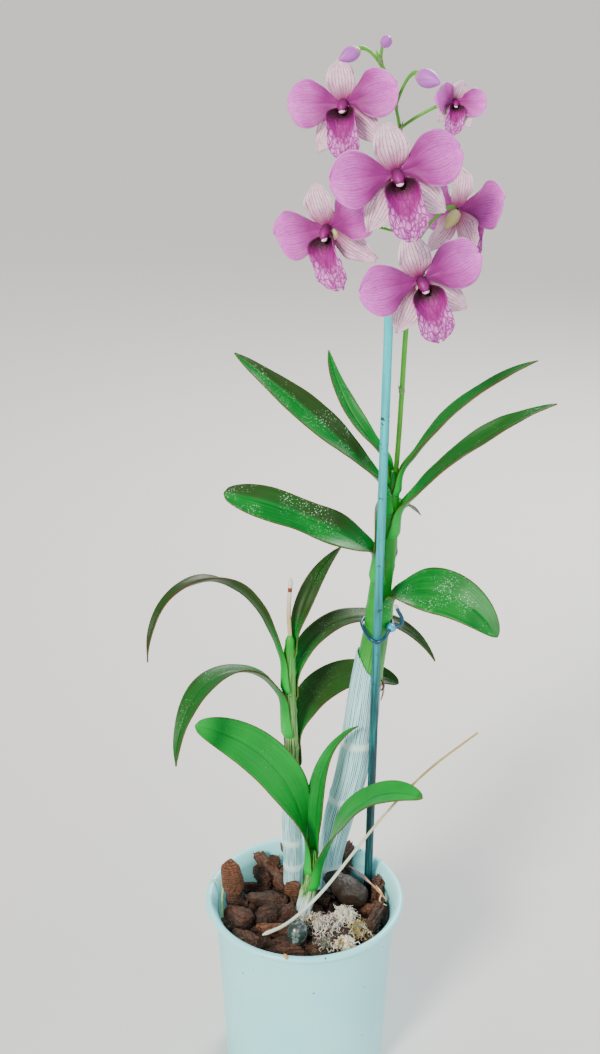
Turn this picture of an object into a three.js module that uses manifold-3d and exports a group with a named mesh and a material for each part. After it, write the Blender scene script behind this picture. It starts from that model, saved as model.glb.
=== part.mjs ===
// A dendrobium orchid in its pot: three canes in bark, strap leaves in two ranks, a flower spike with
// its spray, a stake with a wire tie, an aerial root, and a tuft of pale moss.
// Millimetres, +Z up, the origin at the middle of the pot's foot. The spray faces -Y.
import * as THREE from "three";
import { mergeVertices } from "three/addons/utils/BufferGeometryUtils.js";
import Module from "manifold-3d";

const wasm = await Module();
wasm.setup();

// ---------------------------------------------------------------- driving dimensions

const GAP = 0.3; // clearance between pieces that touch
const CHIP_ROOM = 0.5; // clearance round the loose chips and the pebble
const SHEATH_ROOM = 2.2; // clearance round a cane that takes in its dry sheath
const WELD = 1e-4; // corners nearer than this are one corner
const GOLDEN_ANGLE = Math.PI * (3 - Math.sqrt(5)); // spreads places evenly round a spiral

// The pot: radii at the foot, under the rim's bead and over the rim; bead is how far the bead reaches down.
const POT = { height: 118, foot: 49, wall: 54.2, rim: 60, bead: 9, thick: 1.7, floor: 3, sides: 32 };
const DRAIN = { count: 6, radius: 4, ring: 32, sides: 8 };

// The bark: the height of its bed and of the crown on it; the chips' number, the radius they spread over,
// their half sizes and the range these are scaled through; how far they stand above the bed, and lean.
const BARK = {
  top: 95, crown: 2, crownRadius: 20, shoulder: 106, clearTo: 130, margin: 0.5,
  count: 30, spread: 43, length: 9, width: 6.4, depth: 5, scale: [0.8, 1.3],
  stand: [2, 8], lean: 25, tilt: 22,
};
const WEAR = 0.14; // how far a chip's corners are worn in and out, as a share of its size
const BLOCK = 1.7; // a chip's box before it is scaled by its half sizes and worn

// The moss: a cushion's middle and half sizes, and the threads that stand out of it.
const MOSS = {
  at: [20, -13, 105], size: [16, 12, 6], clear: 5,
  threads: 24, length: 12, radius: 0.75, rooted: 0.7, lowest: 0.25, curl: 4, curlTurn: 1.9,
};

// Canes: the axis, and the radius at even steps along it.
const CANES = {
  tall: {
    axis: [
      [12, 29, 80], [14, 30, 110], [20, 33, 145], [29, 36.5, 182], [34, 39, 215], [38, 40, 248],
      [42, 41, 275], [44, 42, 303], [47, 42, 327], [48.5, 42, 350], [50, 42, 376],
    ],
    radii: [5.8, 6.2, 7, 8, 8.6, 9, 9, 8.4, 7.6, 6.6, 5.8, 5, 3.4],
    sides: 12, rows: 14,
  },
  middle: {
    axis: [
      [-9, 30, 80], [-7, 30, 116], [-8, 30, 150], [-7.5, 32, 188], [-9, 33, 224], [-9, 34, 256],
      [-8.6, 35, 276],
    ],
    radii: [4.4, 4.8, 5, 4.8, 4.7, 4.4, 4.2, 3.8, 2.6],
    sides: 10, rows: 9,
  },
  young: {
    axis: [[-3, 2, 84], [-1, 3, 102], [2.5, 6, 116], [4.8, 8, 136], [5, 8.4, 144]],
    radii: [4.2, 4.6, 4.6, 4.8, 4.8, 4.4, 3.4, 2],
    sides: 12, rows: 8, ribs: 0.2,
  },
};

// Papery dry sheaths: from and to are heights, and slant lowers the mouth on the side at towards.
const SHEATHS = {
  sheath_tall: { cane: "tall", from: 101, to: 262, slant: 20, towards: -10, wall: 0.9, rows: 8 },
  sheath_middle: { cane: "middle", from: 101, to: 172, slant: 8, towards: 200, wall: 0.8, rows: 4 },
};

// Leaves. at: height of the joint; heading: degrees from +X towards +Y; rise and fall: the blade's pitch
// where it leaves the cane and at its tip; bend above 1 keeps the bending for the outer part; turn: how far
// the heading swings; roll: how far the blade turns on its rib; cup: half of its gutter's angle.
const LEAVES = {
  leaf_tall_1: {
    cane: "tall", at: 360, sheath: 8, length: 122, width: 20, heading: 198, turn: -46,
    rise: 50, fall: 27, bend: 1, roll: -38, cup: 36,
  },
  leaf_tall_2: {
    cane: "tall", at: 375, sheath: 4, length: 83, width: 12, heading: 160, turn: -58,
    rise: 40, fall: 40, bend: 1, roll: -12, cup: 40,
  },
  leaf_tall_3: {
    cane: "tall", at: 369, sheath: 6, length: 107, width: 15, heading: -8, turn: 24,
    rise: 63, fall: 19, bend: 1.4, roll: 0, cup: 36,
  },
  leaf_tall_4: {
    cane: "tall", at: 346, sheath: 9, length: 116, width: 18, heading: -14, turn: 34,
    rise: 56, fall: 12, bend: 1.6, roll: 8, cup: 36,
  },
  leaf_tall_5: {
    cane: "tall", at: 318, sheath: 10, length: 104, width: 27, heading: 200, turn: -28,
    rise: 35, fall: 2, bend: 1, roll: -52, cup: 30, tip: 0.45, widest: 0.58,
  },
  leaf_tall_6: {
    cane: "tall", at: 291, sheath: 7, length: 82, width: 28, heading: -24, turn: -16,
    rise: 55, fall: -46, bend: 0.85, roll: 52, cup: 20, tip: 0.6,
  },
  leaf_tall_7: {
    cane: "tall", at: 328, sheath: 5, length: 70, width: 16, heading: 100, turn: -70,
    rise: 38, fall: -46, bend: 1, roll: 10, cup: 24,
  },
  leaf_middle_1: {
    cane: "middle", at: 252, sheath: 12, length: 157, width: 15, heading: 190, turn: 53,
    rise: 76, fall: -95, bend: 1.8, roll: 14, cup: 44, tip: 1.1,
  },
  leaf_middle_2: {
    cane: "middle", at: 226, sheath: 16, length: 126, width: 18, heading: 200, turn: 50,
    rise: 86, fall: -83, bend: 0.95, roll: 4, cup: 30, tip: 0.9,
  },
  leaf_middle_3: {
    cane: "middle", at: 266, sheath: 4, length: 74, width: 14, heading: 43, turn: 12,
    rise: 84, fall: 10, bend: 1.2, roll: 10, cup: 40, tip: 0.9,
  },
  leaf_middle_4: {
    cane: "middle", at: 238, sheath: 4, length: 125, width: 18, heading: 60, turn: -84,
    rise: 88, fall: -58, bend: 0.75, roll: 6, cup: 30,
  },
  leaf_middle_5: {
    cane: "middle", at: 200, sheath: 12, length: 92, width: 21, heading: 66, turn: -84,
    rise: 74, fall: -30, bend: 0.9, roll: 34, cup: 22, tip: 0.5,
  },
  leaf_young_1: {
    cane: "young", at: 134, sheath: 6, length: 126, width: 27, heading: 192, turn: -18,
    rise: 88, fall: 3, bend: 1.25, roll: -58, cup: 24, tip: 0.5, widest: 0.6,
  },
  leaf_young_2: {
    cane: "young", at: 142, sheath: 3, length: 89, width: 13, heading: 66, turn: -66,
    rise: 88, fall: 28, bend: 2.6, roll: 10, cup: 40,
  },
  leaf_young_3: {
    cane: "young", at: 123, sheath: 5, length: 116, width: 23, heading: -25, turn: -24,
    rise: 86, fall: 6, bend: 1.4, roll: 34, cup: 24, tip: 0.5,
  },
};
// clasp and opened: half of the angle a sheath wraps through, at its foot and at the joint; neck: the length
// over which a sheath spreads into its blade; crowd above 1 packs the rows towards the joint.
const LEAF = {
  thick: 1, neck: 14, clasp: 90, opened: 72, widest: 0.46, root: 0.45, tip: 0.75, narrowest: 0.6,
  rows: 8, columns: 4, crowd: 1.25,
};

const STAKE = { from: [38.9, 24.6, 40], to: [44.4, 30.3, 474], radius: 2.5, sides: 12 };
// The tie: the loop's height on the cane, and how far it dips on its way round the stake.
const TIE = { height: 281, dip: 3.5, wire: 1.1, slack: 0.5, bead: [3.2, 2.6, 2.6], knotAngle: -40 };
// The wire's free end, from the knot.
const TAIL = [
  [-1.6, 0.4, -3], [0, 0, 0], [3, -0.6, 0.8], [6, -1, 3], [6.2, -1, 6.6], [4, -0.6, 11], [2.2, -0.4, 15],
];
const CUT_STALK = { axis: [[-8.6, 35, 274], [-9.4, 37, 290], [-8, 38, 312]], radius: 1.25 };
const ROOT = {
  axis: [
    [-25, -26, 108], [-12, -19, 109.5], [0, -10, 114], [12, -6, 126], [28, -4, 149], [48, 0, 176],
    [72, 5, 202], [101, 10, 225],
  ],
  thick: 1.7, thin: 0.9,
};

const SPIKE = {
  axis: [
    [51, 42.4, 371], [52.5, 43, 400], [54, 42.5, 445], [55, 39, 484], [53.5, 33, 522], [49, 27, 557],
    [42, 21, 586], [34, 15, 604],
  ],
  thick: 1.5, thin: 0.8,
};
// The short stalks: their radius, the length that runs straight into a bloom, and how far they bow up.
const PEDICEL = { radius: 1, straight: 12, bow: 3, entry: 1.2 };

// Blooms: the middle, the way each faces (yaw turns it to +X, pitch lifts it), roll, size, and where its
// stalk leaves the spike.
const BLOOMS = {
  a: { at: [44, -6, 549], yaw: 2, pitch: 4, roll: 14, size: 1, joint: 538 },
  b: { at: [12, 22, 517], yaw: -32, pitch: -4, roll: 22, size: 0.96, joint: 510 },
  c: { at: [58, 2, 495], yaw: 8, pitch: -2, roll: 18, size: 0.98, joint: 484 },
  d: { at: [19, 17, 579], yaw: -16, pitch: 8, roll: 10, size: 0.86, joint: 556 },
  e: { at: [80, 44, 522], yaw: 128, pitch: -14, roll: -10, size: 0.9, joint: 500 },
  f: { at: [73, 16, 580], yaw: 12, pitch: 6, roll: -12, size: 0.5, joint: 566 },
};
const BUDS = {
  bud_1: { at: [58, 8, 592], towards: [8, -10, -2], size: 1, joint: 577 },
  bud_2: { at: [22, 10, 603], towards: [-10, -7, -4], size: 0.8, joint: 592 },
  bud_3: { at: [38, 3, 609], towards: [2, -10, 4], size: 0.62, joint: 599 },
};
// A bloom's own parts, at size 1. rise and fall: the pitch at root and tip; root and tip: how sharply the
// outline narrows there; back: how far behind the others it grows.
const TOP_SEPAL = {
  length: 23.5, width: 17.5, rise: 16, fall: -14, cup: 14, widest: 0.5, root: 0.7, tip: 0.6,
  columns: 2, rows: 4, back: 1,
};
const PETAL = {
  length: 32, width: 28, rise: 14, fall: -4, cup: 14, widest: 0.62, root: 0.95, tip: 0.5,
  columns: 4, rows: 5, back: 0,
};
const SIDE_SEPAL = {
  length: 30, width: 16, rise: 2, fall: -10, cup: 16, widest: 0.5, root: 0.7, tip: 0.8,
  columns: 2, rows: 4, back: 1,
};
// angle: from the upright, clockwise as seen from in front.
const TEPALS = [
  { ...TOP_SEPAL, angle: 0 },
  { ...PETAL, angle: 82 },
  { ...PETAL, angle: -82 },
  { ...SIDE_SEPAL, angle: 141 },
  { ...SIDE_SEPAL, angle: -141 },
];
const TEPAL = { thick: 0.8, start: 1.2, wave: 0.05 };
// The lip: half widths at its root, throat, waist and lobe; curled and spread: half of the angle it curls
// through at the throat and at the apron.
const LIP = {
  length: 31, rise: 62, fall: -26, seat: [0, -2.6, 1], start: 2, root: 4.4, throat: 12, waist: 9.4, lobe: 9.4,
  notch: 1.3, wave: 1.1, curled: 112, spread: 20, rows: 7, columns: 4,
};
const COLUMN = { length: 9, radius: 3.1, lean: 34, seat: [0, 1, 1.5], sides: 6 };
const CHIN = { length: 13, radius: 3.8, lean: -48, seat: [0, -1.6, 0], sides: 6 };
const CORE = 3.6; // the bloom's boss, in which the tepals root
const OPENING = { below: 0.8, shut: 110 }; // blooms smaller than this stand shut by so many degrees a unit
const BUD = { length: 17, radius: 4.6, rows: 6, sides: 8 };

// ---------------------------------------------------------------- solids

function solidOf(geometry) {
  const bare = geometry.index ? geometry.toNonIndexed() : geometry.clone();
  bare.deleteAttribute("normal");
  bare.deleteAttribute("uv");
  const merged = mergeVertices(bare, WELD);
  const triVerts = new Uint32Array(merged.index.array);
  const vertProperties = merged.attributes.position.array;
  const made = new wasm.Manifold(new wasm.Mesh({ numProp: 3, vertProperties, triVerts }));
  if (made.volume() > 0) return made;
  for (let i = 0; i < triVerts.length; i += 3) {
    [triVerts[i + 1], triVerts[i + 2]] = [triVerts[i + 2], triVerts[i + 1]];
  }
  return new wasm.Manifold(new wasm.Mesh({ numProp: 3, vertProperties, triVerts }));
}

function geometryOf(solid) {
  const { vertProperties, triVerts, numProp, numVert } = solid.getMesh();
  const position = new Float32Array(numVert * 3);
  for (let i = 0; i < numVert; i++) {
    const from = i * numProp;
    position.set(vertProperties.subarray(from, from + 3), i * 3);
  }
  const geometry = new THREE.BufferGeometry();
  geometry.setAttribute("position", new THREE.BufferAttribute(position, 3));
  geometry.setIndex(new THREE.BufferAttribute(triVerts, 1));
  geometry.computeVertexNormals();
  return geometry;
}

const joined = (solids) => solids.reduce((sum, next) => sum.add(next));

// The largest body of a solid: a cut may leave a scrap behind.
function largest(solid) {
  return solid.decompose().reduce((best, next) => (next.volume() > best.volume() ? next : best));
}

const { degToRad, lerp, smoothstep } = THREE.MathUtils;
const UP = new THREE.Vector3(0, 0, 1);
const vector = (xyz) => new THREE.Vector3(...xyz);
const curveThrough = (points) => new THREE.CatmullRomCurve3(points.map(vector), false, "centripetal");
const share = (n, step) => (n * step) % 1; // an even, repeatable spread of numbers from 0 to 1

// ---------------------------------------------------------------- stalks: lathes bent along an axis

// The cross-section's axes at a share of the way along a curve.
function frameAt(curve, along, across) {
  const tangent = curve.getTangentAt(THREE.MathUtils.clamp(along, 0, 1));
  const first = across.clone().addScaledVector(tangent, -across.dot(tangent)).normalize();
  const second = new THREE.Vector3().crossVectors(tangent, first);
  return { point: curve.getPointAt(THREE.MathUtils.clamp(along, 0, 1)), first, second, tangent };
}

// Bends a lathe, whose height runs from 0 to 1, along a curve.
function follow(geometry, curve, across = new THREE.Vector3(1, 0, 0)) {
  const position = geometry.attributes.position;
  for (let i = 0; i < position.count; i++) {
    const { point, first, second } = frameAt(curve, position.getY(i), across);
    point.addScaledVector(first, position.getX(i)).addScaledVector(second, -position.getZ(i));
    position.setXYZ(i, point.x, point.y, point.z);
  }
  return geometry;
}

function sample(values, along) {
  const place = THREE.MathUtils.clamp(along, 0, 1) * (values.length - 1);
  const low = Math.min(Math.floor(place), values.length - 2);
  return lerp(values[low], values[low + 1], place - low);
}

// Presses straight ribs into a lathe's wall.
function rib(geometry, depth, count) {
  const position = geometry.attributes.position;
  for (let i = 0; i < position.count; i++) {
    const x = position.getX(i);
    const z = position.getZ(i);
    const radius = Math.hypot(x, z);
    if (radius < 1) continue;
    const swell = 1 + (depth / radius) * Math.cos(count * Math.atan2(z, x));
    position.setXYZ(i, x * swell, position.getY(i), z * swell);
  }
}

function stalk({ curve, radiusAt, sides, rows, across, ribs = 0 }) {
  const profile = [new THREE.Vector2(0, 0)];
  for (let i = 0; i <= rows; i++) profile.push(new THREE.Vector2(radiusAt(i / rows), i / rows));
  profile.push(new THREE.Vector2(0, 1));
  const geometry = new THREE.LatheGeometry(profile, sides);
  if (ribs) rib(geometry, ribs, sides / 2);
  return solidOf(follow(geometry, curve, across));
}

function caneSolid(cane, extra = 0) {
  const radiusAt = (along) => sample(cane.radii, along) + extra;
  return stalk({ ...cane, curve: cane.curve, radiusAt });
}

// The share of the way up a cane at which it reaches a height.
function shareAtHeight(curve, height) {
  let low = 0;
  let high = 1;
  for (let i = 0; i < 24; i++) {
    const middle = (low + high) / 2;
    if (curve.getPointAt(middle).z < height) low = middle;
    else high = middle;
  }
  return (low + high) / 2;
}

// A dry sheath: a thin tube round the cane, with a slanting mouth.
function sheathSolid({ cane: name, from, to, slant, towards, wall, rows }) {
  const { curve, radii, sides } = CANES[name];
  const start = shareAtHeight(curve, from);
  const end = shareAtHeight(curve, to);
  const profile = [new THREE.Vector2(0, start)];
  for (let i = 0; i <= rows; i++) {
    const along = lerp(start, end, i / rows);
    profile.push(new THREE.Vector2(sample(radii, along) + GAP + wall, along));
  }
  profile.push(new THREE.Vector2(0, end));
  const geometry = new THREE.LatheGeometry(profile, sides);
  const position = geometry.attributes.position;
  const drop = slant / curve.getLength();
  for (let i = 0; i < position.count; i++) {
    const [x, z] = [position.getX(i), position.getZ(i)];
    const lean = Math.hypot(x, z) < 1 ? 0 : Math.cos(Math.atan2(-z, x) - degToRad(towards));
    const weight = smoothstep(position.getY(i), lerp(start, end, 0.6), end);
    position.setY(i, position.getY(i) - drop * (0.5 + 0.5 * lean) * weight);
  }
  return largest(solidOf(follow(geometry, curve)).subtract(caneSolid(CANES[name], GAP)));
}

// ---------------------------------------------------------------- blades: leaves, tepals and lips

const STEPS = 120; // stations along a blade's rib

// The rib of a blade in its own frame: it runs out along +X, and its upper face looks to +Z. A sheath runs
// straight up below the joint, at the distance that hug gives; the blade then bends over from rise to fall.
function spine({ sheath = 0, start = 0, length, rise, fall, bend = 1, turn = 0, neck = 0, hug }) {
  const total = sheath + length;
  const step = total / STEPS;
  const stations = [];
  let place = new THREE.Vector3(hug ? hug(0) : start, 0, 0);
  for (let i = 0; i <= STEPS; i++) {
    const far = i * step;
    const out = Math.max(0, (far - sheath) / length);
    const free = sheath ? smoothstep(far, sheath, sheath + neck) : 1;
    const pitch = degToRad(lerp(90, rise + (fall - rise) * out ** bend, free));
    const swing = degToRad(turn * out);
    const ahead = new THREE.Vector3(Math.cos(swing), Math.sin(swing), 0).multiplyScalar(Math.cos(pitch));
    ahead.z = Math.sin(pitch);
    const side = new THREE.Vector3(-Math.sin(swing), Math.cos(swing), 0);
    if (far < sheath) {
      stations.push({ place: new THREE.Vector3(hug(far - sheath), 0, far - sheath), far, out, ahead, side });
      continue;
    }
    stations.push({ place, far, out, ahead, side });
    place = place.clone().addScaledVector(ahead, step);
  }
  return stations;
}

// A pointed oval: 0 at both ends and 1 at its widest place.
function oval(out, widest, root, tip) {
  const warped = out ** (Math.log(0.5) / Math.log(widest));
  return Math.max(0, Math.sin(Math.PI * warped)) ** (out < widest ? root : tip);
}

// Closes a grid of points into a thin solid: both faces are split alike, and a rim joins them.
function bladeGeometry(grid, thick) {
  const rows = grid.length;
  const columns = grid[0].length;
  const near = (list, i) => list[THREE.MathUtils.clamp(i, 0, list.length - 1)];
  const position = [];
  for (const face of [0.5, -0.5]) {
    for (let i = 0; i < rows; i++) {
      for (let j = 0; j < columns; j++) {
        const along = near(grid, i + 1)[j].clone().sub(near(grid, i - 1)[j]);
        const across = near(grid[i], j + 1).clone().sub(near(grid[i], j - 1));
        const normal = along.cross(across).normalize();
        position.push(...grid[i][j].clone().addScaledVector(normal, face * thick).toArray());
      }
    }
  }
  const index = [];
  const at = (i, j) => i * columns + j;
  const under = rows * columns;
  for (let i = 0; i < rows - 1; i++) {
    for (let j = 0; j < columns - 1; j++) {
      const [a, b, c, d] = [at(i, j), at(i + 1, j), at(i + 1, j + 1), at(i, j + 1)];
      index.push(a, b, c, under + a, under + c, under + b);
      index.push(a, c, d, under + a, under + d, under + c);
    }
  }
  const border = [];
  for (let i = 0; i < rows - 1; i++) border.push(at(i, 0));
  for (let j = 0; j < columns - 1; j++) border.push(at(rows - 1, j));
  for (let i = rows - 1; i > 0; i--) border.push(at(i, columns - 1));
  for (let j = columns - 1; j > 0; j--) border.push(at(0, j));
  border.forEach((a, i) => {
    const b = border[(i + 1) % border.length];
    index.push(a, under + b, b, a, under + a, under + b);
  });
  const geometry = new THREE.BufferGeometry();
  geometry.setAttribute("position", new THREE.Float32BufferAttribute(position, 3));
  geometry.setIndex(index);
  return geometry;
}

// Lays a curled section across each chosen station of a rib. halfAt and curlAt give its half width and
// half of the angle that it curls through, rollAt turns it on the rib, waveAt lifts it, and reachAt
// draws it on ahead.
function bladeGrid({ stations, rows, columns, crowd = 1, halfAt, curlAt, rollAt, waveAt, reachAt }) {
  const grid = [];
  for (let i = 0; i <= rows; i++) {
    const station = stations[Math.round(STEPS * (i / rows) ** crowd)];
    const roll = rollAt ? rollAt(station) : 0;
    const up = new THREE.Vector3().crossVectors(station.ahead, station.side);
    const side = station.side.clone().multiplyScalar(Math.cos(roll)).addScaledVector(up, Math.sin(roll));
    const lift = new THREE.Vector3().crossVectors(station.ahead, side);
    const curl = curlAt(station);
    const bow = halfAt(station) / curl;
    const row = [];
    for (let j = 0; j <= columns; j++) {
      const across = (2 * j) / columns - 1;
      const point = station.place.clone().addScaledVector(side, bow * Math.sin(curl * across));
      point.addScaledVector(lift, bow * (1 - Math.cos(curl * across)));
      if (waveAt) point.addScaledVector(lift, waveAt(station, across));
      if (reachAt) point.addScaledVector(station.ahead, reachAt(station, across));
      row.push(point);
    }
    grid.push(row);
  }
  return grid;
}

// A leaf on its cane. The sheath follows the cane down from the joint; the blade leaves it there.
function leafSolid(leaf, extra = 0) {
  const { curve, radii } = CANES[leaf.cane];
  const { sheath, width, roll, cup, widest = LEAF.widest, tip = LEAF.tip } = leaf;
  const length = curve.getLength();
  const joint = shareAtHeight(curve, leaf.at);
  const [clasp, opened] = [degToRad(LEAF.clasp), degToRad(LEAF.opened)];
  const flat = Math.cos(clasp / LEAF.columns); // a facet's middle lies this much nearer than its corners
  const hug = (z) => (sample(radii, joint + z / length) + GAP) / flat + LEAF.thick / 2;
  const grid = bladeGrid({
    stations: spine({ ...leaf, neck: LEAF.neck, hug }),
    rows: LEAF.rows,
    columns: LEAF.columns,
    crowd: LEAF.crowd,
    halfAt: ({ far, out }) => {
      const blade = (width / 2) * oval(THREE.MathUtils.clamp(out, 0.02, 1), widest, LEAF.root, tip);
      const wrap = lerp(clasp, opened, Math.min(1, far / sheath)) * hug(Math.min(0, far - sheath));
      const half = lerp(wrap, blade, smoothstep(far, sheath, sheath + LEAF.neck * 1.5));
      return extra + Math.max(LEAF.narrowest, half);
    },
    curlAt: ({ far }) => {
      const wrap = lerp(clasp, opened, Math.min(1, far / sheath));
      return lerp(wrap, degToRad(cup), smoothstep(far, sheath, sheath + LEAF.neck * 1.8));
    },
    rollAt: ({ out }) => degToRad(roll) * smoothstep(out, 0, 0.5),
  });
  const heading = new THREE.Vector3(1, 0, 0).applyAxisAngle(UP, degToRad(leaf.heading));
  const inSheath = ({ x, z }) => z < 0 && x < 2 * hug(0);
  const rowsInSheath = grid.filter((row) => inSheath(row[LEAF.columns / 2])).length;
  grid.forEach((row, i) => {
    for (const point of row) {
      const below = i < rowsInSheath ? point.z : 0;
      const seat = frameAt(curve, joint + below / length, heading);
      const { x, y, z } = point;
      point.copy(seat.point).addScaledVector(seat.first, x).addScaledVector(seat.second, y);
      point.addScaledVector(seat.tangent, z - below);
    }
  });
  return solidOf(bladeGeometry(grid, LEAF.thick + 2 * extra));
}

// ---------------------------------------------------------------- pot and bark

function potSolid() {
  const { height, foot, wall, rim, bead, thick, floor, sides } = POT;
  const inner = wall - thick;
  const outside = [[0, 0], [foot - 1, 0], [foot, 1.4], [wall, height - bead], [wall + 1.6, height - 5]];
  const over = [
    [rim - 0.6, height - 3.4], [rim, height - 1.8], [rim - 1.2, height - 0.2], [rim - 3, height],
    [rim - 4.6, height - 1.6],
  ];
  const inside = [[inner + 0.4, height - 7], [inner, height - bead - 3], [foot - thick, floor], [0, floor]];
  const outline = [...outside, ...over, ...inside];
  const body = solidOf(turned(outline, sides));
  const holes = [];
  for (let i = 0; i < DRAIN.count; i++) {
    const angle = (i * 2 * Math.PI) / DRAIN.count;
    const hole = new THREE.CylinderGeometry(DRAIN.radius, DRAIN.radius, 4 * floor, DRAIN.sides);
    hole.rotateX(Math.PI / 2);
    hole.translate(DRAIN.ring * Math.cos(angle), DRAIN.ring * Math.sin(angle), 0);
    holes.push(solidOf(hole));
  }
  return body.subtract(joined(holes));
}

// A lathe about Z of [radius, height] points.
function turned(outline, sides) {
  const geometry = new THREE.LatheGeometry(outline.map(([r, z]) => new THREE.Vector2(r, z)), sides);
  return geometry.rotateX(Math.PI / 2);
}

// A worn solid: its corners are nudged in and out, and it is stretched, leant and spun into place.
function worn(geometry, { at, size, spin = 0, lean = 0, tilt = 0, seed = 0 }) {
  const position = geometry.attributes.position;
  for (let i = 0; i < position.count; i++) {
    const [x, y, z] = [position.getX(i), position.getY(i), position.getZ(i)];
    const nudge = 1 + WEAR * Math.sin(7.3 * x + 4.1 * y + 5.7 * z + 2.6 * seed);
    position.setXYZ(i, x * nudge * size[0], y * nudge * size[1], z * nudge * size[2]);
  }
  geometry.rotateX(degToRad(tilt));
  geometry.rotateY(degToRad(lean));
  geometry.rotateZ(degToRad(spin));
  geometry.translate(...at);
  return solidOf(geometry);
}

const chunk = (lie) => worn(new THREE.BoxGeometry(BLOCK, BLOCK, BLOCK), lie); // a blocky chip of bark
const lump = (lie) => worn(new THREE.IcosahedronGeometry(1, 0), lie); // a rounded stone or cushion

// The loose chips over the bed: an even spiral of places, with lengths, spins and tilts spread evenly too.
function bedChips() {
  const { count, spread, length, width, depth, scale, stand, lean, tilt, top } = BARK;
  const chips = [];
  for (let i = 0; i < count; i++) {
    const reach = spread * Math.sqrt((i + 0.5) / count);
    const angle = i * GOLDEN_ANGLE;
    const height = top + lerp(...stand, share(i, 0.5698));
    const wide = lerp(...scale, share(i, 0.7548));
    const deep = lerp(...scale, share(i, 0.3819));
    chips.push({
      at: [reach * Math.cos(angle), reach * Math.sin(angle), height],
      size: [length * wide, width * wide, depth * deep],
      spin: 360 * share(i, 0.618),
      lean: lerp(-lean, lean, share(i, 0.4142)),
      tilt: lerp(-tilt, tilt, share(i, 0.7321)),
      seed: i,
    });
  }
  return chips;
}

// Bigger slabs that stand up at the back and the right.
const SLABS = [
  { at: [26, 42, 112], size: [8, 3.4, 13], spin: 60, lean: 14, seed: 3 },
  { at: [46, 18, 108], size: [9, 4, 9], spin: 70, lean: 20, seed: 8 },
  { at: [40, -8, 104], size: [15, 5, 5.5], spin: 62, lean: -12, seed: 5 },
  { at: [-27, 30, 108], size: [13, 3.5, 5], spin: 118, lean: 24, seed: 11 },
  { at: [-22, 22, 110], size: [11, 3, 4], spin: 150, lean: -38, seed: 2 },
];
const LOOSE_CHIPS = {
  chip_standing: { at: [-44, 8, 121], size: [5, 4, 14], spin: 40, lean: -4, seed: 4 },
  chip_dark: { at: [25, 15, 109], size: [12, 7, 6], spin: -28, lean: 10, seed: 9 },
};
const PEBBLE = { at: [-5, -24, 107], size: [7, 6, 8], spin: 20, lean: 12, seed: 6 };

function bedSolid(hollows) {
  const { floor, foot, thick, wall, height, bead, sides } = POT;
  const { top, crown, crownRadius, shoulder, clearTo, margin } = BARK;
  const low = floor + GAP;
  const inner = (z) => lerp(foot, wall, z / (height - bead)) - thick - margin;
  const filled = [
    [0, low], [inner(low), low], [inner(top), top], [crownRadius, top + crown], [0, top + crown],
  ];
  const inside = [
    [0, low], [inner(low), low], [inner(shoulder), shoulder], [inner(shoulder), clearTo], [0, clearTo],
  ];
  const open = ({ at }) => Math.hypot(at[0] - MOSS.at[0], at[1] - MOSS.at[1]) > MOSS.size[0] + MOSS.clear;
  const chips = [...bedChips().filter(open), ...SLABS].map(chunk);
  const bed = joined([solidOf(turned(filled, sides)), ...chips]).intersect(solidOf(turned(inside, sides)));
  return largest(bed.subtract(joined(hollows)));
}

// ---------------------------------------------------------------- moss

// A low cushion with short curling threads standing out of it.
const cushion = (extra) => ({ at: MOSS.at, size: MOSS.size.map((half) => half + extra), spin: 25, seed: 1 });

function mossSolid() {
  const { at, size, threads: count, length: longest, radius, rooted, lowest, curl, curlTurn } = MOSS;
  const threads = [];
  for (let i = 0; i < count; i++) {
    const height = lerp(lowest, 1, (i + 0.5) / count);
    const angle = i * GOLDEN_ANGLE;
    const flat = Math.sqrt(1 - height * height);
    const out = new THREE.Vector3(flat * Math.cos(angle), flat * Math.sin(angle), height);
    const bend = new THREE.Vector3(Math.cos(angle + curlTurn), Math.sin(angle + curlTurn), -0.25);
    const length = longest * lerp(0.5, 1, share(i, 0.7548));
    const foot = vector(at).addScaledVector(out.clone().multiply(vector(size)), rooted);
    const middle = foot.clone().addScaledVector(out, length * 0.6);
    const end = foot.clone().addScaledVector(out, length * 0.8).addScaledVector(bend, curl * share(i, 0.618));
    threads.push(cordSolid(new THREE.CatmullRomCurve3([foot, middle, end]), radius, 3, 2));
  }
  return joined([lump(cushion(0)), ...threads]);
}

// A plain round cord along a curve.
function cordSolid(curve, radius, sides, steps) {
  const corners = [];
  for (let i = 0; i < sides; i++) {
    const angle = (i * 2 * Math.PI) / sides;
    corners.push(new THREE.Vector2(radius * Math.cos(angle), radius * Math.sin(angle)));
  }
  return solidOf(new THREE.ExtrudeGeometry(new THREE.Shape(corners), { steps, extrudePath: curve }));
}

// ---------------------------------------------------------------- stake and tie

function stakeSolid(extra = 0) {
  const from = vector(STAKE.from);
  const to = vector(STAKE.to);
  const radius = STAKE.radius + extra;
  const geometry = new THREE.CylinderGeometry(radius, radius, from.distanceTo(to), STAKE.sides);
  geometry.rotateX(Math.PI / 2);
  const matrix = new THREE.Matrix4().lookAt(to, from, new THREE.Vector3(0, 1, 0));
  geometry.applyMatrix4(matrix);
  const middle = from.clone().lerp(to, 0.5);
  geometry.translate(middle.x, middle.y, middle.z);
  return solidOf(geometry);
}

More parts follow.
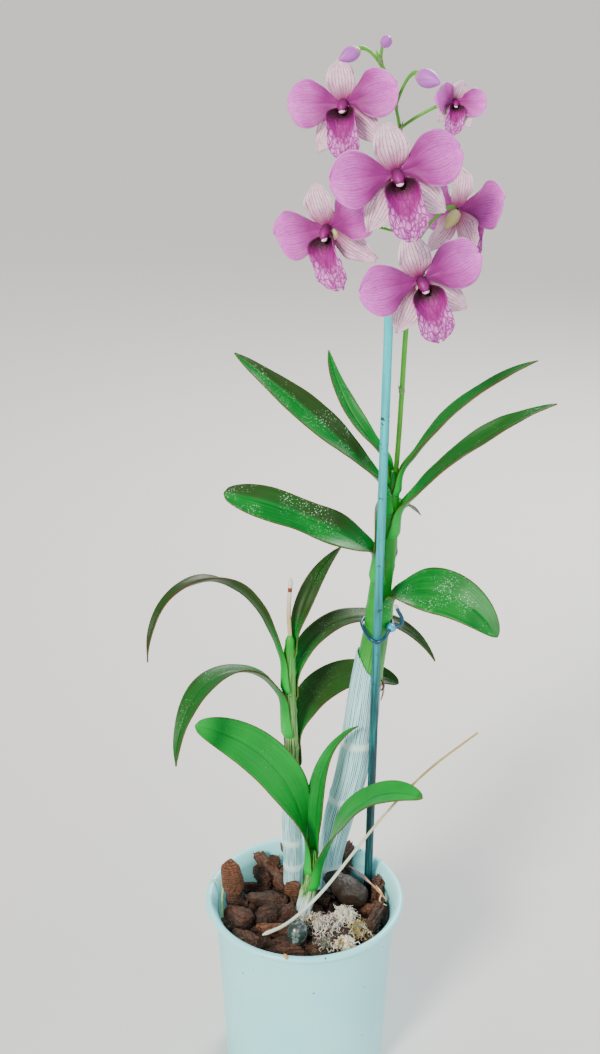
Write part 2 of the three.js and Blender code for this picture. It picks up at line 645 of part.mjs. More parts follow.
// A wire loop round the cane and the stake. It starts and ends in the bead, through which a tail passes
// that is short below and curls up above.
function tieSolids() {
  const { height, wire, slack, bead, dip, knotAngle } = TIE;
  const cane = CANES.tall;
  const along = shareAtHeight(cane.curve, height);
  const middle = cane.curve.getPointAt(along);
  const rise = (height - STAKE.from[2]) / (STAKE.to[2] - STAKE.from[2]);
  const stake = vector(STAKE.from).lerp(vector(STAKE.to), rise);
  const around = (centre, reach) => (degrees, out, lift) => {
    const turn = degToRad(degrees);
    const far = reach + out;
    return [centre.x + far * Math.cos(turn), centre.y + far * Math.sin(turn), height + lift];
  };
  const onCane = around(middle, sample(cane.radii, along) + slack + wire);
  const onStake = around(stake, STAKE.radius + slack + wire);
  const knot = vector(onCane(knotAngle, 1.2, 0));
  const loopCurve = curveThrough([
    knot.toArray(),
    onStake(-50, 0.6, -dip * 0.7), onStake(-90, 0, -dip), onStake(215, 0.6, -dip * 0.7),
    onCane(205, 0.6, 0), onCane(170, 0, 0.4), onCane(130, 0, 0.6), onCane(90, 0, 0.6),
    onCane(50, 0, 0.6), onCane(10, 0, 0.4), onCane(-22, 0.4, 0.2),
    knot.toArray(),
  ]);
  const tailCurve = curveThrough(TAIL.map((from) => vector(from).add(knot).toArray()));
  const wires = (extra) => [
    cordSolid(loopCurve, wire + extra, 5, 26), cordSolid(tailCurve, wire + extra, 5, 9),
  ];
  const clip = solidOf(new THREE.SphereGeometry(1, 6, 4).scale(...bead).translate(...knot.toArray()));
  return { wires: joined(wires(0)), clip: largest(clip.subtract(joined(wires(GAP)))) };
}

// ---------------------------------------------------------------- blooms

// A bloom's frame: +Z is the way it faces, +Y is up, +X is to its left as it looks out.
function bloomFrame({ at, yaw, pitch, roll, size }) {
  const [a, p] = [degToRad(yaw), degToRad(pitch)];
  const facing = new THREE.Vector3(Math.sin(a) * Math.cos(p), -Math.cos(a) * Math.cos(p), Math.sin(p));
  const side = new THREE.Vector3(Math.cos(a), Math.sin(a), 0);
  const up = new THREE.Vector3().crossVectors(facing, side);
  const matrix = new THREE.Matrix4().makeBasis(side, up, facing);
  matrix.multiply(new THREE.Matrix4().makeRotationZ(degToRad(roll)));
  matrix.scale(new THREE.Vector3(size, size, size));
  return matrix.setPosition(vector(at));
}

// A tepal grows out along +X with its face to +Z; turning about Z sets its place round the bloom.
function tepalSolid(tepal, thick) {
  const { width, widest, root, tip, rows, columns, back, angle, cup } = tepal;
  const grid = bladeGrid({
    stations: spine({ ...tepal, start: TEPAL.start }),
    rows,
    columns,
    halfAt: ({ out }) => {
      const half = (width / 2) * oval(THREE.MathUtils.clamp(out, 0.06, 0.985), widest, root, tip);
      return Math.max(1, half);
    },
    curlAt: () => degToRad(cup),
    waveAt: ({ out }, across) => TEPAL.wave * width * across * across * Math.sin(9 * out + 2 * across),
  });
  return solidOf(bladeGeometry(grid, thick).rotateZ(degToRad(90 - angle)).translate(0, 0, -back));
}

// The lip: curled up round the column at its root, and spread in front as a notched apron.
function lipSolid(thick) {
  const { seat, root, throat, waist, lobe, notch, wave, curled, spread, rows, columns } = LIP;
  const grid = bladeGrid({
    stations: spine(LIP),
    rows,
    columns,
    halfAt: ({ out }) => {
      const tube = lerp(root, throat, smoothstep(out, 0, 0.25));
      const apron = lerp(waist, lobe, smoothstep(out, 0.5, 0.75));
      const narrowing = 1 - 0.4 * smoothstep(out, 0.82, 1);
      return lerp(tube, apron * narrowing, smoothstep(out, 0.3, 0.5));
    },
    curlAt: ({ out }) => degToRad(lerp(curled, spread, smoothstep(out, 0.3, 0.62))),
    waveAt: ({ out }, across) => {
      const edge = wave * across * across * smoothstep(out, 0.5, 0.8);
      return edge * Math.sin(17 * out + 3 * across);
    },
    reachAt: ({ out }, across) => -notch * Math.cos(2 * Math.PI * across) * smoothstep(out, 0.8, 1),
  });
  return solidOf(bladeGeometry(grid, thick).rotateZ(-Math.PI / 2).translate(...seat));
}

function columnSolid(extra) {
  const { length, radius, lean, seat, sides } = COLUMN;
  const top = length + extra;
  const [foot, belly, tip] = [0.8, 1, 0.7].map((part) => radius * part + extra);
  const outline = [[0, -1], [foot, -1], [belly, length * 0.6], [tip, top], [0, top]];
  return solidOf(turned(outline, sides).rotateX(degToRad(lean)).translate(...seat));
}

// The chin: the foot of the column and the side sepals, drawn out behind into a blunt spur.
function chinSolid(extra) {
  const { length, radius, lean, seat, sides } = CHIN;
  const wide = radius + extra;
  const end = -length - extra;
  const outline = [[0, end], [wide * 0.4, end], [wide, -length * 0.3], [wide, 0], [0, 1 + extra]];
  return solidOf(turned(outline, sides).rotateX(degToRad(lean)).translate(...seat));
}

function bloomSolids(bloom) {
  const place = bloomFrame(bloom);
  const gap = GAP / bloom.size;
  const thick = TEPAL.thick / bloom.size;
  const tepals = TEPALS.map((tepal) => closing(tepal, bloom.size));
  const whole = (extra) => joined([
    solidOf(new THREE.IcosahedronGeometry(CORE + extra, 0)),
    columnSolid(extra),
    chinSolid(extra),
    ...tepals.map((tepal) => tepalSolid(tepal, thick + 2 * extra)),
  ]);
  const flower = largest(whole(0));
  const lip = largest(lipSolid(thick).subtract(whole(gap)));
  return { flower: moved(flower, place), lip: moved(lip, place) };
}

// A small bloom is still opening: its tepals stand forward.
function closing(tepal, size) {
  const shut = Math.max(0, OPENING.below - size) * OPENING.shut;
  return { ...tepal, rise: tepal.rise + shut, fall: tepal.fall + shut };
}

function moved(solid, matrix) {
  return solidOf(geometryOf(solid).applyMatrix4(matrix));
}

// A closed bud points away from the spike along its own +Z.
function budFrame({ at, towards, size }) {
  const turn = new THREE.Quaternion().setFromUnitVectors(UP, vector(towards).normalize());
  return new THREE.Matrix4().compose(vector(at), turn, new THREE.Vector3(size, size, size));
}

// An egg, fuller behind than in front; its middle lies 0.4 of the way along.
function budSolid(bud) {
  const { length, radius, rows, sides } = BUD;
  const outline = [[0, -0.4 * length]];
  for (let i = 1; i < rows; i++) {
    const along = i / rows;
    outline.push([radius * Math.sin(Math.PI * along ** 0.8) ** 0.8, length * (along - 0.4)]);
  }
  outline.push([0, 0.6 * length]);
  return moved(solidOf(turned(outline, sides)), budFrame(bud));
}

// The spike with a short stalk to each bloom and bud, ending just short of it.
function spikeSolid() {
  const curve = curveThrough(SPIKE.axis);
  const radiusAt = (along) => lerp(SPIKE.thick, SPIKE.thin, smoothstep(along, 0.3, 1));
  const stems = [];
  for (const bloom of Object.values(BLOOMS)) {
    const near = CORE + GAP / bloom.size;
    stems.push({ joint: bloom.joint, frame: bloomFrame(bloom), near, far: PEDICEL.straight });
  }
  for (const bud of Object.values(BUDS)) {
    const near = 0.4 * BUD.length + GAP / bud.size;
    stems.push({ joint: bud.joint, frame: budFrame(bud), near, far: 0.7 * BUD.length });
  }
  const solids = stems.map(({ joint, frame, near, far }) => {
    const root = curve.getPointAt(shareAtHeight(curve, joint));
    const [behind, end] = [far, near].map((back) => vector([0, PEDICEL.entry, -back]).applyMatrix4(frame));
    const bow = root.clone().lerp(behind, 0.5).addScaledVector(UP, PEDICEL.bow);
    return cordSolid(new THREE.CubicBezierCurve3(root, bow, behind, end), PEDICEL.radius, 5, 3);
  });
  return joined([stalk({ curve, radiusAt, sides: 6, rows: 12 }), ...solids]);
}

// ---------------------------------------------------------------- the plant, piece by piece

// Colour and roughness.
const MATERIALS = {
  pot: [0xd9f6f8, 0.35], bark: [0x5a3a26, 0.9], dark_bark: [0x37302c, 0.8], pebble: [0x3d4541, 0.35],
  moss: [0xd8d0a8, 0.95], cane: [0x3faa3a, 0.5], sheath: [0xd3ecec, 0.75], leaf: [0x1f8a35, 0.4],
  stake: [0x4fc1cf, 0.6], wire: [0x12707f, 0.4], bead: [0x5cc8e6, 0.35], dry: [0xe9e2cf, 0.85],
  root: [0xdfe5d2, 0.8], petal: [0xd98fdc, 0.55], lip: [0xb5178a, 0.5], spike: [0x4c9a35, 0.5],
};
const material = {};
for (const [name, [color, roughness]] of Object.entries(MATERIALS)) {
  material[name] = new THREE.MeshStandardMaterial({ name, color, roughness, metalness: 0 });
}

const plant = new THREE.Group();

function place(name, solid, finish) {
  const mesh = new THREE.Mesh(geometryOf(solid), material[finish]);
  mesh.name = name;
  plant.add(mesh);
}

for (const cane of Object.values(CANES)) cane.curve = curveThrough(cane.axis);

place("pot", potSolid(), "pot");
for (const [name, cane] of Object.entries(CANES)) place(`cane_${name}`, caneSolid(cane), "cane");
for (const [name, sheath] of Object.entries(SHEATHS)) place(name, sheathSolid(sheath), "sheath");
place("stake", stakeSolid(), "stake");

// Roomy copies of what stands in the bark or carries leaves.
const roomyCanes = Object.fromEntries(
  Object.entries(CANES).map(([name, cane]) => [name, caneSolid(cane, GAP)]),
);
const roomySheaths = Object.values(SHEATHS).map(({ cane }) => caneSolid(CANES[cane], SHEATH_ROOM));
const standing = [...Object.values(roomyCanes), ...roomySheaths, stakeSolid(GAP)];
const bigger = (lie) => ({ ...lie, size: lie.size.map((half) => half + CHIP_ROOM) });

for (const [name, chip] of Object.entries(LOOSE_CHIPS)) {
  place(name, largest(chunk(chip).subtract(joined(standing))), "dark_bark");
}
place("pebble", lump(PEBBLE), "pebble");

const besideMoss = joined([roomyCanes.young, ...SLABS.map(bigger).map(chunk)]);
place("moss_tuft", largest(mossSolid().subtract(besideMoss)), "moss");

function rootSolid(extra) {
  const radiusAt = (along) => lerp(ROOT.thick, ROOT.thin, along) + extra;
  const across = new THREE.Vector3(0, 1, 0);
  return stalk({ curve: curveThrough(ROOT.axis), radiusAt, sides: 7, rows: 18, across });
}
place("aerial_root", rootSolid(0), "root");

// The bed holds plain hollows for everything that stands or lies in it.
const lying = [
  rootSolid(GAP),
  ...Object.values(LOOSE_CHIPS).map((chip) => chunk(bigger(chip))),
  lump(bigger(PEBBLE)),
  lump(cushion(2 * GAP)),
];
place("bark_bed", bedSolid([...standing, ...lying]), "bark");

// Each leaf is cut clear of its cane and of the leaves below it.
const roomyLeaves = { tall: [], middle: [], young: [] };
for (const [name, leaf] of Object.entries(LEAVES)) {
  const below = [roomyCanes[leaf.cane], ...roomyLeaves[leaf.cane]];
  place(name, largest(below.reduce((rest, other) => rest.subtract(other), leafSolid(leaf))), "leaf");
  roomyLeaves[leaf.cane].push(leafSolid(leaf, GAP));
}

const cutStalkCurve = curveThrough(CUT_STALK.axis);
const cutStalk = stalk({ curve: cutStalkCurve, radiusAt: () => CUT_STALK.radius, sides: 6, rows: 4 });
place("cut_stalk", largest(cutStalk.subtract(roomyCanes.middle)), "dry");

const tie = tieSolids();
place("tie_wire", tie.wires, "wire");
place("tie_bead", tie.clip, "bead");

place("flower_spike", largest(spikeSolid().subtract(roomyCanes.tall)), "spike");
for (const [name, bloom] of Object.entries(BLOOMS)) {
  const { flower, lip } = bloomSolids(bloom);
  place(`bloom_${name}`, flower, "petal");
  place(`lip_${name}`, lip, "lip");
}
for (const [name, bud] of Object.entries(BUDS)) place(name, budSolid(bud), "petal");

export default plant;
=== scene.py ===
# %% [markdown]
# # A dendrobium orchid in its pot
#
# Three canes stand in a pot of bark. Two carry leaves in two ranks, the youngest only three, and the
# tallest has flowered: its spike leans on a painted stake and ends in a spray of mauve blooms.
#
# Almost everything here grows, so almost everything is made by one of two rules. A stem is a tube whose
# radius changes along a smooth path. A leaf or petal is a sheet laid across a bent rib. Each piece starts
# as a flat grid, which the rule then bends, because a grid keeps clean rows of faces and a tidy UV map:
# U runs from root to tip and V runs across, so the veins of a leaf can follow its own shape.

# %% Load the solid model and remember its size
import math
import random

import bmesh
import bpy
import numpy as np
from mathutils import Matrix, Vector, noise


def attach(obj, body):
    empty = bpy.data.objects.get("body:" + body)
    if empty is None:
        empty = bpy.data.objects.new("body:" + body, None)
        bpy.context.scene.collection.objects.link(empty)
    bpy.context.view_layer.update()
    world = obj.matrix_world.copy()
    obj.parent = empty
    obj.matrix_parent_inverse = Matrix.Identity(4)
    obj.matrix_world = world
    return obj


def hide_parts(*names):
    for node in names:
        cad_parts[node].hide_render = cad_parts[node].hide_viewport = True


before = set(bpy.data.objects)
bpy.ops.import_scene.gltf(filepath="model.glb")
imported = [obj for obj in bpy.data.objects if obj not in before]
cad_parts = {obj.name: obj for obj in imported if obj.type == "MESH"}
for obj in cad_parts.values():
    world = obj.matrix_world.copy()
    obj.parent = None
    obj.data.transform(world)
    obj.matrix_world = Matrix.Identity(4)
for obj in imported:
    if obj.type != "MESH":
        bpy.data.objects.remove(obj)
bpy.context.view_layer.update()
MM = 0.001

# %% [markdown]
# ## The sizes
#
# These are the plant's own measures in millimetres, the same as in the solid model, so that each finished
# piece lies where its solid does. Z is up and the origin is the middle of the pot's foot.

# %% Sizes of the pot and what stands in it
POT = dict(height=118, foot=49, wall=54.2, rim=60, bead=9, thick=1.7, floor=3)
DRAIN = dict(count=6, radius=4, ring=32)
BARK_TOP = 95
GAP = 0.3
STAKE = dict(foot=(38.9, 24.6, 40), top=(44.4, 30.3, 474), radius=2.5)

CANES = {
    "tall": dict(
        axis=[(12, 29, 80), (14, 30, 110), (20, 33, 145), (29, 36.5, 182), (34, 39, 215), (38, 40, 248),
              (42, 41, 275), (44, 42, 303), (47, 42, 327), (48.5, 42, 350), (50, 42, 376)],
        radii=[5.8, 6.2, 7, 8, 8.6, 9, 9, 8.4, 7.6, 6.6, 5.8, 5, 3.4]),
    "middle": dict(
        axis=[(-9, 30, 80), (-7, 30, 116), (-8, 30, 150), (-7.5, 32, 188), (-9, 33, 224), (-9, 34, 256),
              (-8.6, 35, 276)],
        radii=[4.4, 4.8, 5, 4.8, 4.7, 4.4, 4.2, 3.8, 2.6]),
    "young": dict(
        axis=[(-3, 2, 84), (-1, 3, 102), (2.5, 6, 116), (4.8, 8, 136), (5, 8.4, 144)],
        radii=[4.2, 4.6, 4.6, 4.8, 4.8, 4.4, 3.4, 2]),
}
print(len(CANES), "canes, in a pot", 2 * POT["rim"], "mm across")

# %% [markdown]
# ## Paths
#
# A stem never runs straight. Its path is a smooth curve through a few points (a centripetal Catmull-Rom
# curve, which doesn't overshoot where points lie close together), measured by its length, so that a share
# of 0.5 is really half-way along.

# %% A smooth path, measured by its length
class Path:
    def __init__(self, points, steps=40):
        p = np.array(points, float)
        p = np.vstack([2 * p[0] - p[1], p, 2 * p[-1] - p[-2]])
        t = np.linspace(0, 1, steps, endpoint=False)[:, None]
        runs = []
        for a, b, c, d in zip(p, p[1:], p[2:], p[3:]):
            before, here, after = (np.linalg.norm(v) ** 0.5 for v in (b - a, c - b, d - c))
            leave = here * ((b - a) / before - (c - a) / (before + here) + (c - b) / here)
            arrive = here * ((c - b) / here - (d - b) / (here + after) + (d - c) / after)
            bend = 3 * (c - b) - 2 * leave - arrive
            runs.append(b + leave * t + bend * t**2 + (2 * (b - c) + leave + arrive) * t**3)
        self.points = np.vstack([*runs, p[-2]])
        far = np.r_[0, np.cumsum(np.linalg.norm(np.diff(self.points, axis=0), axis=1))]
        self.length = far[-1]
        self.shares = far / far[-1]

    def at(self, share):
        return Vector([np.interp(share, self.shares, self.points[:, k]) for k in range(3)])

    def share_at_height(self, height):
        return float(np.interp(height, self.points[:, 2], self.shares))

    def frame(self, share, across):
        """The point, two directions square to the path, and the way ahead."""
        share = min(max(share, 0), 1)
        ahead = (self.at(min(share + 0.002, 1)) - self.at(max(share - 0.002, 0))).normalized()
        first = (Vector(across) - Vector(across).dot(ahead) * ahead).normalized()
        return self.at(share), first, ahead.cross(first), ahead


for cane in CANES.values():
    cane["path"] = Path(cane["axis"])
print("cane lengths:", [round(cane["path"].length) for cane in CANES.values()])


# %% Small sums used by every rule
def ease(x, low, high):
    """0 below low, 1 above high, and a smooth rise between."""
    t = min(max((x - low) / (high - low), 0), 1)
    return t * t * (3 - 2 * t)


def mix(a, b, share):
    return a + (b - a) * share


def hill(x, width):
    """A smooth bump: 1 at 0, and nearly 0 beyond twice the width."""
    return math.exp(-((x / width) ** 2))


def sample(values, share):
    return float(np.interp(share, np.linspace(0, 1, len(values)), values))


def lump_noise(point, size):
    """Smooth noise from -1 to 1 whose lumps are about size across."""
    return noise.noise(Vector(point) / size)


def table(text):
    """Rows of numbers under a row of their names. A dot leaves a number at its usual value."""
    names, *rows = (line.split() for line in text.strip().splitlines())
    return [{key: cell if key == "name" else float(cell) for key, cell in zip(names, row) if cell != "."}
            for row in rows]


print("ease(0.5, 0, 1) =", ease(0.5, 0, 1), "and hill(2, 1) =", round(hill(2, 1), 3))

# %% [markdown]
# ## Materials
#
# Every material is a Principled shader with a few nodes before it. Colours are sRGB hex values, as on a
# paint chart, and one function turns them to the linear numbers the shader needs. Another adds a node.
# Its inputs come in the order of the node's sockets, or by name with a capital letter; a name in small
# letters is a setting. An input can be a value, a colour, coordinates ("UV" or "Object"), a number kept
# on the mesh, by its name, or an earlier node.
#
# What is the same all over a surface is set on the shader itself. Patterns are sized in millimetres.
# Object coordinates are metres here, so a pattern of s millimetres needs a scale of 1000 / s.

# %% The colour, node and material helpers
COLOUR_MIX = (0, 6, 7)  # the sockets that a Mix node's factor and its two colours go to
MAIN_OUTPUT = {"ShaderNodeMix": 2, "ShaderNodeAttribute": 2}  # the mixed colour, the attribute's number


def colour(hex_code):
    channels = [int(hex_code[i:i + 2], 16) / 255 for i in (1, 3, 5)]
    linear = [c / 12.92 if c <= 0.04045 else ((c + 0.055) / 1.055) ** 2.4 for c in channels]
    return (*linear, 1)


def add(made, kind, *inputs, **named):
    nodes, order = made.node_tree.nodes, range(len(inputs))
    node = nodes.new("ShaderNode" + kind)
    if kind == "Mix":
        node.data_type, order = "RGBA", COLOUR_MIX
    sockets = dict(zip(order, inputs))
    for key, value in named.items():
        if key[0].isupper():
            sockets[key.replace("_", " ")] = value
        else:
            setattr(node, key, value)
    for key, value in sockets.items():
        if isinstance(value, str):
            if value[0] == "#":
                value = colour(value)
            elif value in ("UV", "Object"):
                value = nodes["Texture Coordinate"].outputs[value]
            else:
                value = add(made, "Attribute", attribute_name=value)
        if isinstance(value, bpy.types.Node):
            value = value.outputs[MAIN_OUTPUT.get(value.bl_idname, 0)]
        if isinstance(value, bpy.types.NodeSocket):
            made.node_tree.links.new(value, node.inputs[key])
        else:
            node.inputs[key].default_value = value
    return node


def new_material(name, **sockets):
    """A material whose Principled shader has its even values set, with a Texture Coordinate node."""
    made = bpy.data.materials.new(name)
    made.use_nodes = True
    for key, value in sockets.items():
        made.node_tree.nodes["Principled BSDF"].inputs[key.replace("_", " ")].default_value = value
    add(made, "TexCoord")
    return made


def fibres(made, along, across, **settings):
    """Noise drawn out along a piece: how often it changes from root to tip, and how many lines lie across."""
    return add(made, "TexNoise", add(made, "Mapping", "UV", Scale=(along, across, 1)), **settings)


def surface(made, paint, height=None, strength=0, depth=0):
    """Joins the last colour to the shader, and a height if there is one: its strength and its depth in mm."""
    tree, shader = made.node_tree, made.node_tree.nodes["Principled BSDF"]
    tree.links.new(paint.outputs[MAIN_OUTPUT[paint.bl_idname]], shader.inputs["Base Color"])
    if height is not None:
        bump = add(made, "Bump", Strength=strength, Distance=depth * MM, Height=height)
        tree.links.new(bump.outputs["Normal"], shader.inputs["Normal"])
    print(made.name, "with", len(tree.nodes), "nodes")
    return made


# %% [markdown]
# ## Meshes
#
# Each piece is drawn in millimetres in a bmesh. finish_piece turns it into an object in metres that
# rides on the plant, takes the place of its solid, and says how many faces it has. Faces are smooth, but
# an edge sharper than the crease angle stays sharp.

# %% From bmesh to a finished piece
WELD = 1e-3  # points closer than this are one


def new_bmesh(*numbers):
    """A bmesh with a UV map, and a layer for each number that its points keep for the material."""
    bm = bmesh.new()
    bm.loops.layers.uv.new("growth")
    for key in numbers:
        bm.verts.layers.float.new(key)
    return bm


def keep(bm, verts, **numbers):
    """Keeps numbers at points. Each is a value or a function of the point."""
    for key, value in numbers.items():
        layer = bm.verts.layers.float[key]
        for vert in verts:
            vert[layer] = value(vert.co) if callable(value) else value


def show(name, data):
    made = bpy.data.objects.new(name, data)
    bpy.context.scene.collection.objects.link(made)
    return made


def show_bmesh(name, bm, materials=()):
    bmesh.ops.scale(bm, vec=(MM, MM, MM), verts=bm.verts)
    mesh = bpy.data.meshes.new(name)
    bm.to_mesh(mesh)
    bm.free()
    for made in materials:
        mesh.materials.append(made)
    return show(name, mesh)


def finish_piece(name, bm, materials, slot, *nodes, crease=40, thickness=0):
    """A sheet gets its thickness from a Solidify modifier. A closed body's faces are turned outwards."""
    if not thickness:
        bmesh.ops.recalc_face_normals(bm, faces=bm.faces)
    made = show_bmesh(name, bm, materials)
    made.data.shade_smooth()
    made.data.set_sharp_from_angle(angle=math.radians(crease))
    if thickness:
        wall = made.modifiers.new("wall", "SOLIDIFY")
        wall.thickness = thickness * MM
        wall.offset = 0
    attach(made, "root")
    if nodes:
        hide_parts(*nodes)
    print(f"{name}: {len(made.data.polygons)} faces, {[round(1000 * d) for d in made.dimensions]} mm")
    return made


# %% A grid bent into a tube along a path, and an outline spun round
def add_tube(bm, path, radius_at, sides, rows, across=(1, 0, 0), caps=True, offset_at=None):
    """Wraps a grid round a path. radius_at takes the share along and the turn round it, in radians."""
    made = bmesh.ops.create_grid(bm, x_segments=rows, y_segments=sides, size=1, calc_uvs=True)
    frames = {}
    for vert in made["verts"]:
        along, turn = (vert.co.x + 1) / 2, (vert.co.y + 1) * math.pi
        row = round(along * rows)
        if row not in frames:
            frames[row] = path.frame(along, across)
        point, first, second, ahead = frames[row]
        far = radius_at(along, turn)
        vert.co = point + far * (math.cos(turn) * first + math.sin(turn) * second)
        if offset_at:
            vert.co += ahead * offset_at(along, turn)
    bmesh.ops.remove_doubles(bm, verts=made["verts"], dist=WELD)
    verts = [vert for vert in made["verts"] if vert.is_valid]
    if caps:
        ends = {edge for vert in verts for edge in vert.link_edges if edge.is_boundary}
        bmesh.ops.holes_fill(bm, edges=list(ends), sides=0)
    return verts


def spin_outline(bm, outline, steps):
    """Draws a chain of edges through points (radius, height) and spins it round the pot's axis."""
    chain = [bm.verts.new((radius, 0, height)) for radius, height in outline]
    edges = [bm.edges.new(pair) for pair in zip(chain, chain[1:])]
    bmesh.ops.spin(bm, geom=[*chain, *edges], cent=(0, 0, 0), axis=(0, 0, 1), angle=math.tau, steps=steps,
                   use_merge=True)
    bmesh.ops.remove_doubles(bm, verts=bm.verts, dist=WELD)


def placed(at, size=(1, 1, 1), spin=0, lean=0, tilt=0):
    """Sizes, turns by tilt about X, lean about Y and spin about Z, in degrees, and then moves."""
    turn = [Matrix.Rotation(math.radians(by), 4, axis) for by, axis in ((spin, "Z"), (lean, "Y"), (tilt, "X"))]
    return Matrix.Translation(at) @ turn[0] @ turn[1] @ turn[2] @ Matrix.Diagonal((*size, 1))


print("finish_piece and add_tube ready")

# %% [markdown]
# ## The camera and the studio
#
# The camera stands a little above the plant and looks down at it, so that the bark shows inside the rim.
# Its lens is a fairly long one. The studio is a wide pale floor. A soft key light comes from the left,
# as even over the floor as daylight; a weaker fill stands at the right, and a strip behind edges the leaves.

# %% Camera, floor and lights
CAMERA_AT, CAMERA_DOWN = (-2.8, -714, 666), 23.2  # millimetres, and degrees below level
FOCAL_PX, FRAME_PX, SENSOR = 1437, 1054, 36  # focal length and frame height in pixels, sensor in mm
FLOOR_HALF = 40_000

camera = bpy.data.cameras.new("camera")
camera.sensor_width = SENSOR
camera.lens = FOCAL_PX / FRAME_PX * SENSOR
camera.clip_start, camera.clip_end = 0.01, 100
camera_object = show("camera", camera)
camera_object.location = Vector(CAMERA_AT) * MM
camera_object.rotation_euler = (math.radians(90 - CAMERA_DOWN), 0, 0)
bpy.context.scene.camera = camera_object

painted = new_material("painted studio floor", Roughness=0.75, Base_Color=colour("#d9d8d4"))
bm = bmesh.new()
bmesh.ops.create_grid(bm, x_segments=1, y_segments=1, size=FLOOR_HALF)
floor = show_bmesh("floor", bm, [painted])

LIGHTS = {  # kind, place in metres, angle or width in metres, strength, colour
    "key": ("SUN", (-0.75, -1.15, 1.2), math.radians(14), 4.2, "#fff8ec"),
    "fill": ("AREA", (1.3, -0.9, 0.8), 1.2, 7, "#f0f6ff"),
    "strip": ("AREA", (0.5, 1.1, 1.2), 0.6, 26, "#ffffff"),
}
for name, (kind, place, size, strength, tint) in LIGHTS.items():
    light = bpy.data.lights.new(name, kind)
    light.energy, light.color = strength, colour(tint)[:3]
    setattr(light, "angle" if kind == "SUN" else "size", size)
    lamp = show(name, light)
    lamp.location = place
    lamp.rotation_euler = (Vector((0, 0, 0.3)) - Vector(place)).to_track_quat("-Z", "Y").to_euler()

world = bpy.data.worlds.new("studio")
world.use_nodes = True
sky = world.node_tree.nodes["Background"].inputs
sky["Color"].default_value, sky["Strength"].default_value = colour("#e6ebf0"), 0.7
bpy.context.scene.world = world
print("lens", round(camera.lens, 1), "mm and", len(LIGHTS), "lights")

# %% [markdown]
# ## The pot
#
# A nursery pot moulded in thin polypropylene: a tapered wall, a rolled bead for a rim, and drain holes in
# the foot. It is one outline spun round. The rim's bead goes through a Path, which rounds it. The holes
# are cut last, with a Boolean whose result is applied.

# %% Moulded polypropylene
# Milky and faintly blue, with soft highlights and a few dark specks of dirt.
pot_plastic = made = new_material("moulded polypropylene", Roughness=0.32, IOR=1.49)
cloudy = add(made, "TexNoise", "Object", Scale=1000 / 45, Detail=3)
body = add(made, "Mix", cloudy, "#8cf0fa", "#b6fcff")
dots = add(made, "TexVoronoi", "Object", Scale=1000 / 6)
near = add(made, "MapRange", dots, 0.13, 0.09)
rare = add(made, "SeparateColor", dots.outputs["Color"])
chosen = add(made, "Math", rare, 0.86, operation="GREATER_THAN")
dirty = add(made, "Math", near, chosen, operation="MULTIPLY")
speckled = add(made, "Mix", dirty, body, "#1f7480")
surface(made, speckled, cloudy, 0.08, 0.4)

# %% Spin the pot
foot, wall, rim, top = (POT[key] for key in ("foot", "wall", "rim", "height"))
inner = wall - POT["thick"]
bead = Path([(wall + 0.2, 0, top - 8.4), (wall + 1.6, 0, top - 5.2), (rim - 1.2, 0, top - 4),
             (rim, 0, top - 2), (rim - 1, 0, top - 0.3), (rim - 2.8, 0, top), (rim - 4.6, 0, top - 1.6),
             (inner + 0.5, 0, top - 6.6), (inner, 0, top - 12)])
outside = [(0, 0), (foot - 1, 0), (foot - 0.3, 0.4), (foot, 1.4), (wall, top - POT["bead"])]
inside = [(foot - POT["thick"] + 0.3, POT["floor"] + 3), (foot - 4, POT["floor"]), (0, POT["floor"])]
rounded = [bead.at(i / 40) for i in range(41)]

bm = new_bmesh()
spin_outline(bm, [*outside, *((p.x, p.z) for p in rounded), *inside], 144)
pot = finish_piece("moulded_pot", bm, [pot_plastic], "pot_plastic", "pot", crease=35)

# %% Cut the drain holes
bm = bmesh.new()
for i in range(DRAIN["count"]):
    turn = math.tau * i / DRAIN["count"]
    place = placed((DRAIN["ring"] * math.cos(turn), DRAIN["ring"] * math.sin(turn), 0))
    bmesh.ops.create_cone(bm, cap_ends=True, segments=32, radius1=DRAIN["radius"], radius2=DRAIN["radius"],
                          depth=4 * POT["floor"], matrix=place)
plugs = show_bmesh("drain plugs", bm)
cut = pot.modifiers.new("drain", "BOOLEAN")
cut.object, cut.operation, cut.solver = plugs, "DIFFERENCE", "EXACT"
pot.data = bpy.data.meshes.new_from_object(pot.evaluated_get(bpy.context.evaluated_depsgraph_get()))
pot.modifiers.clear()
bpy.data.objects.remove(plugs)
print("drained pot:", len(pot.data.polygons), "faces")
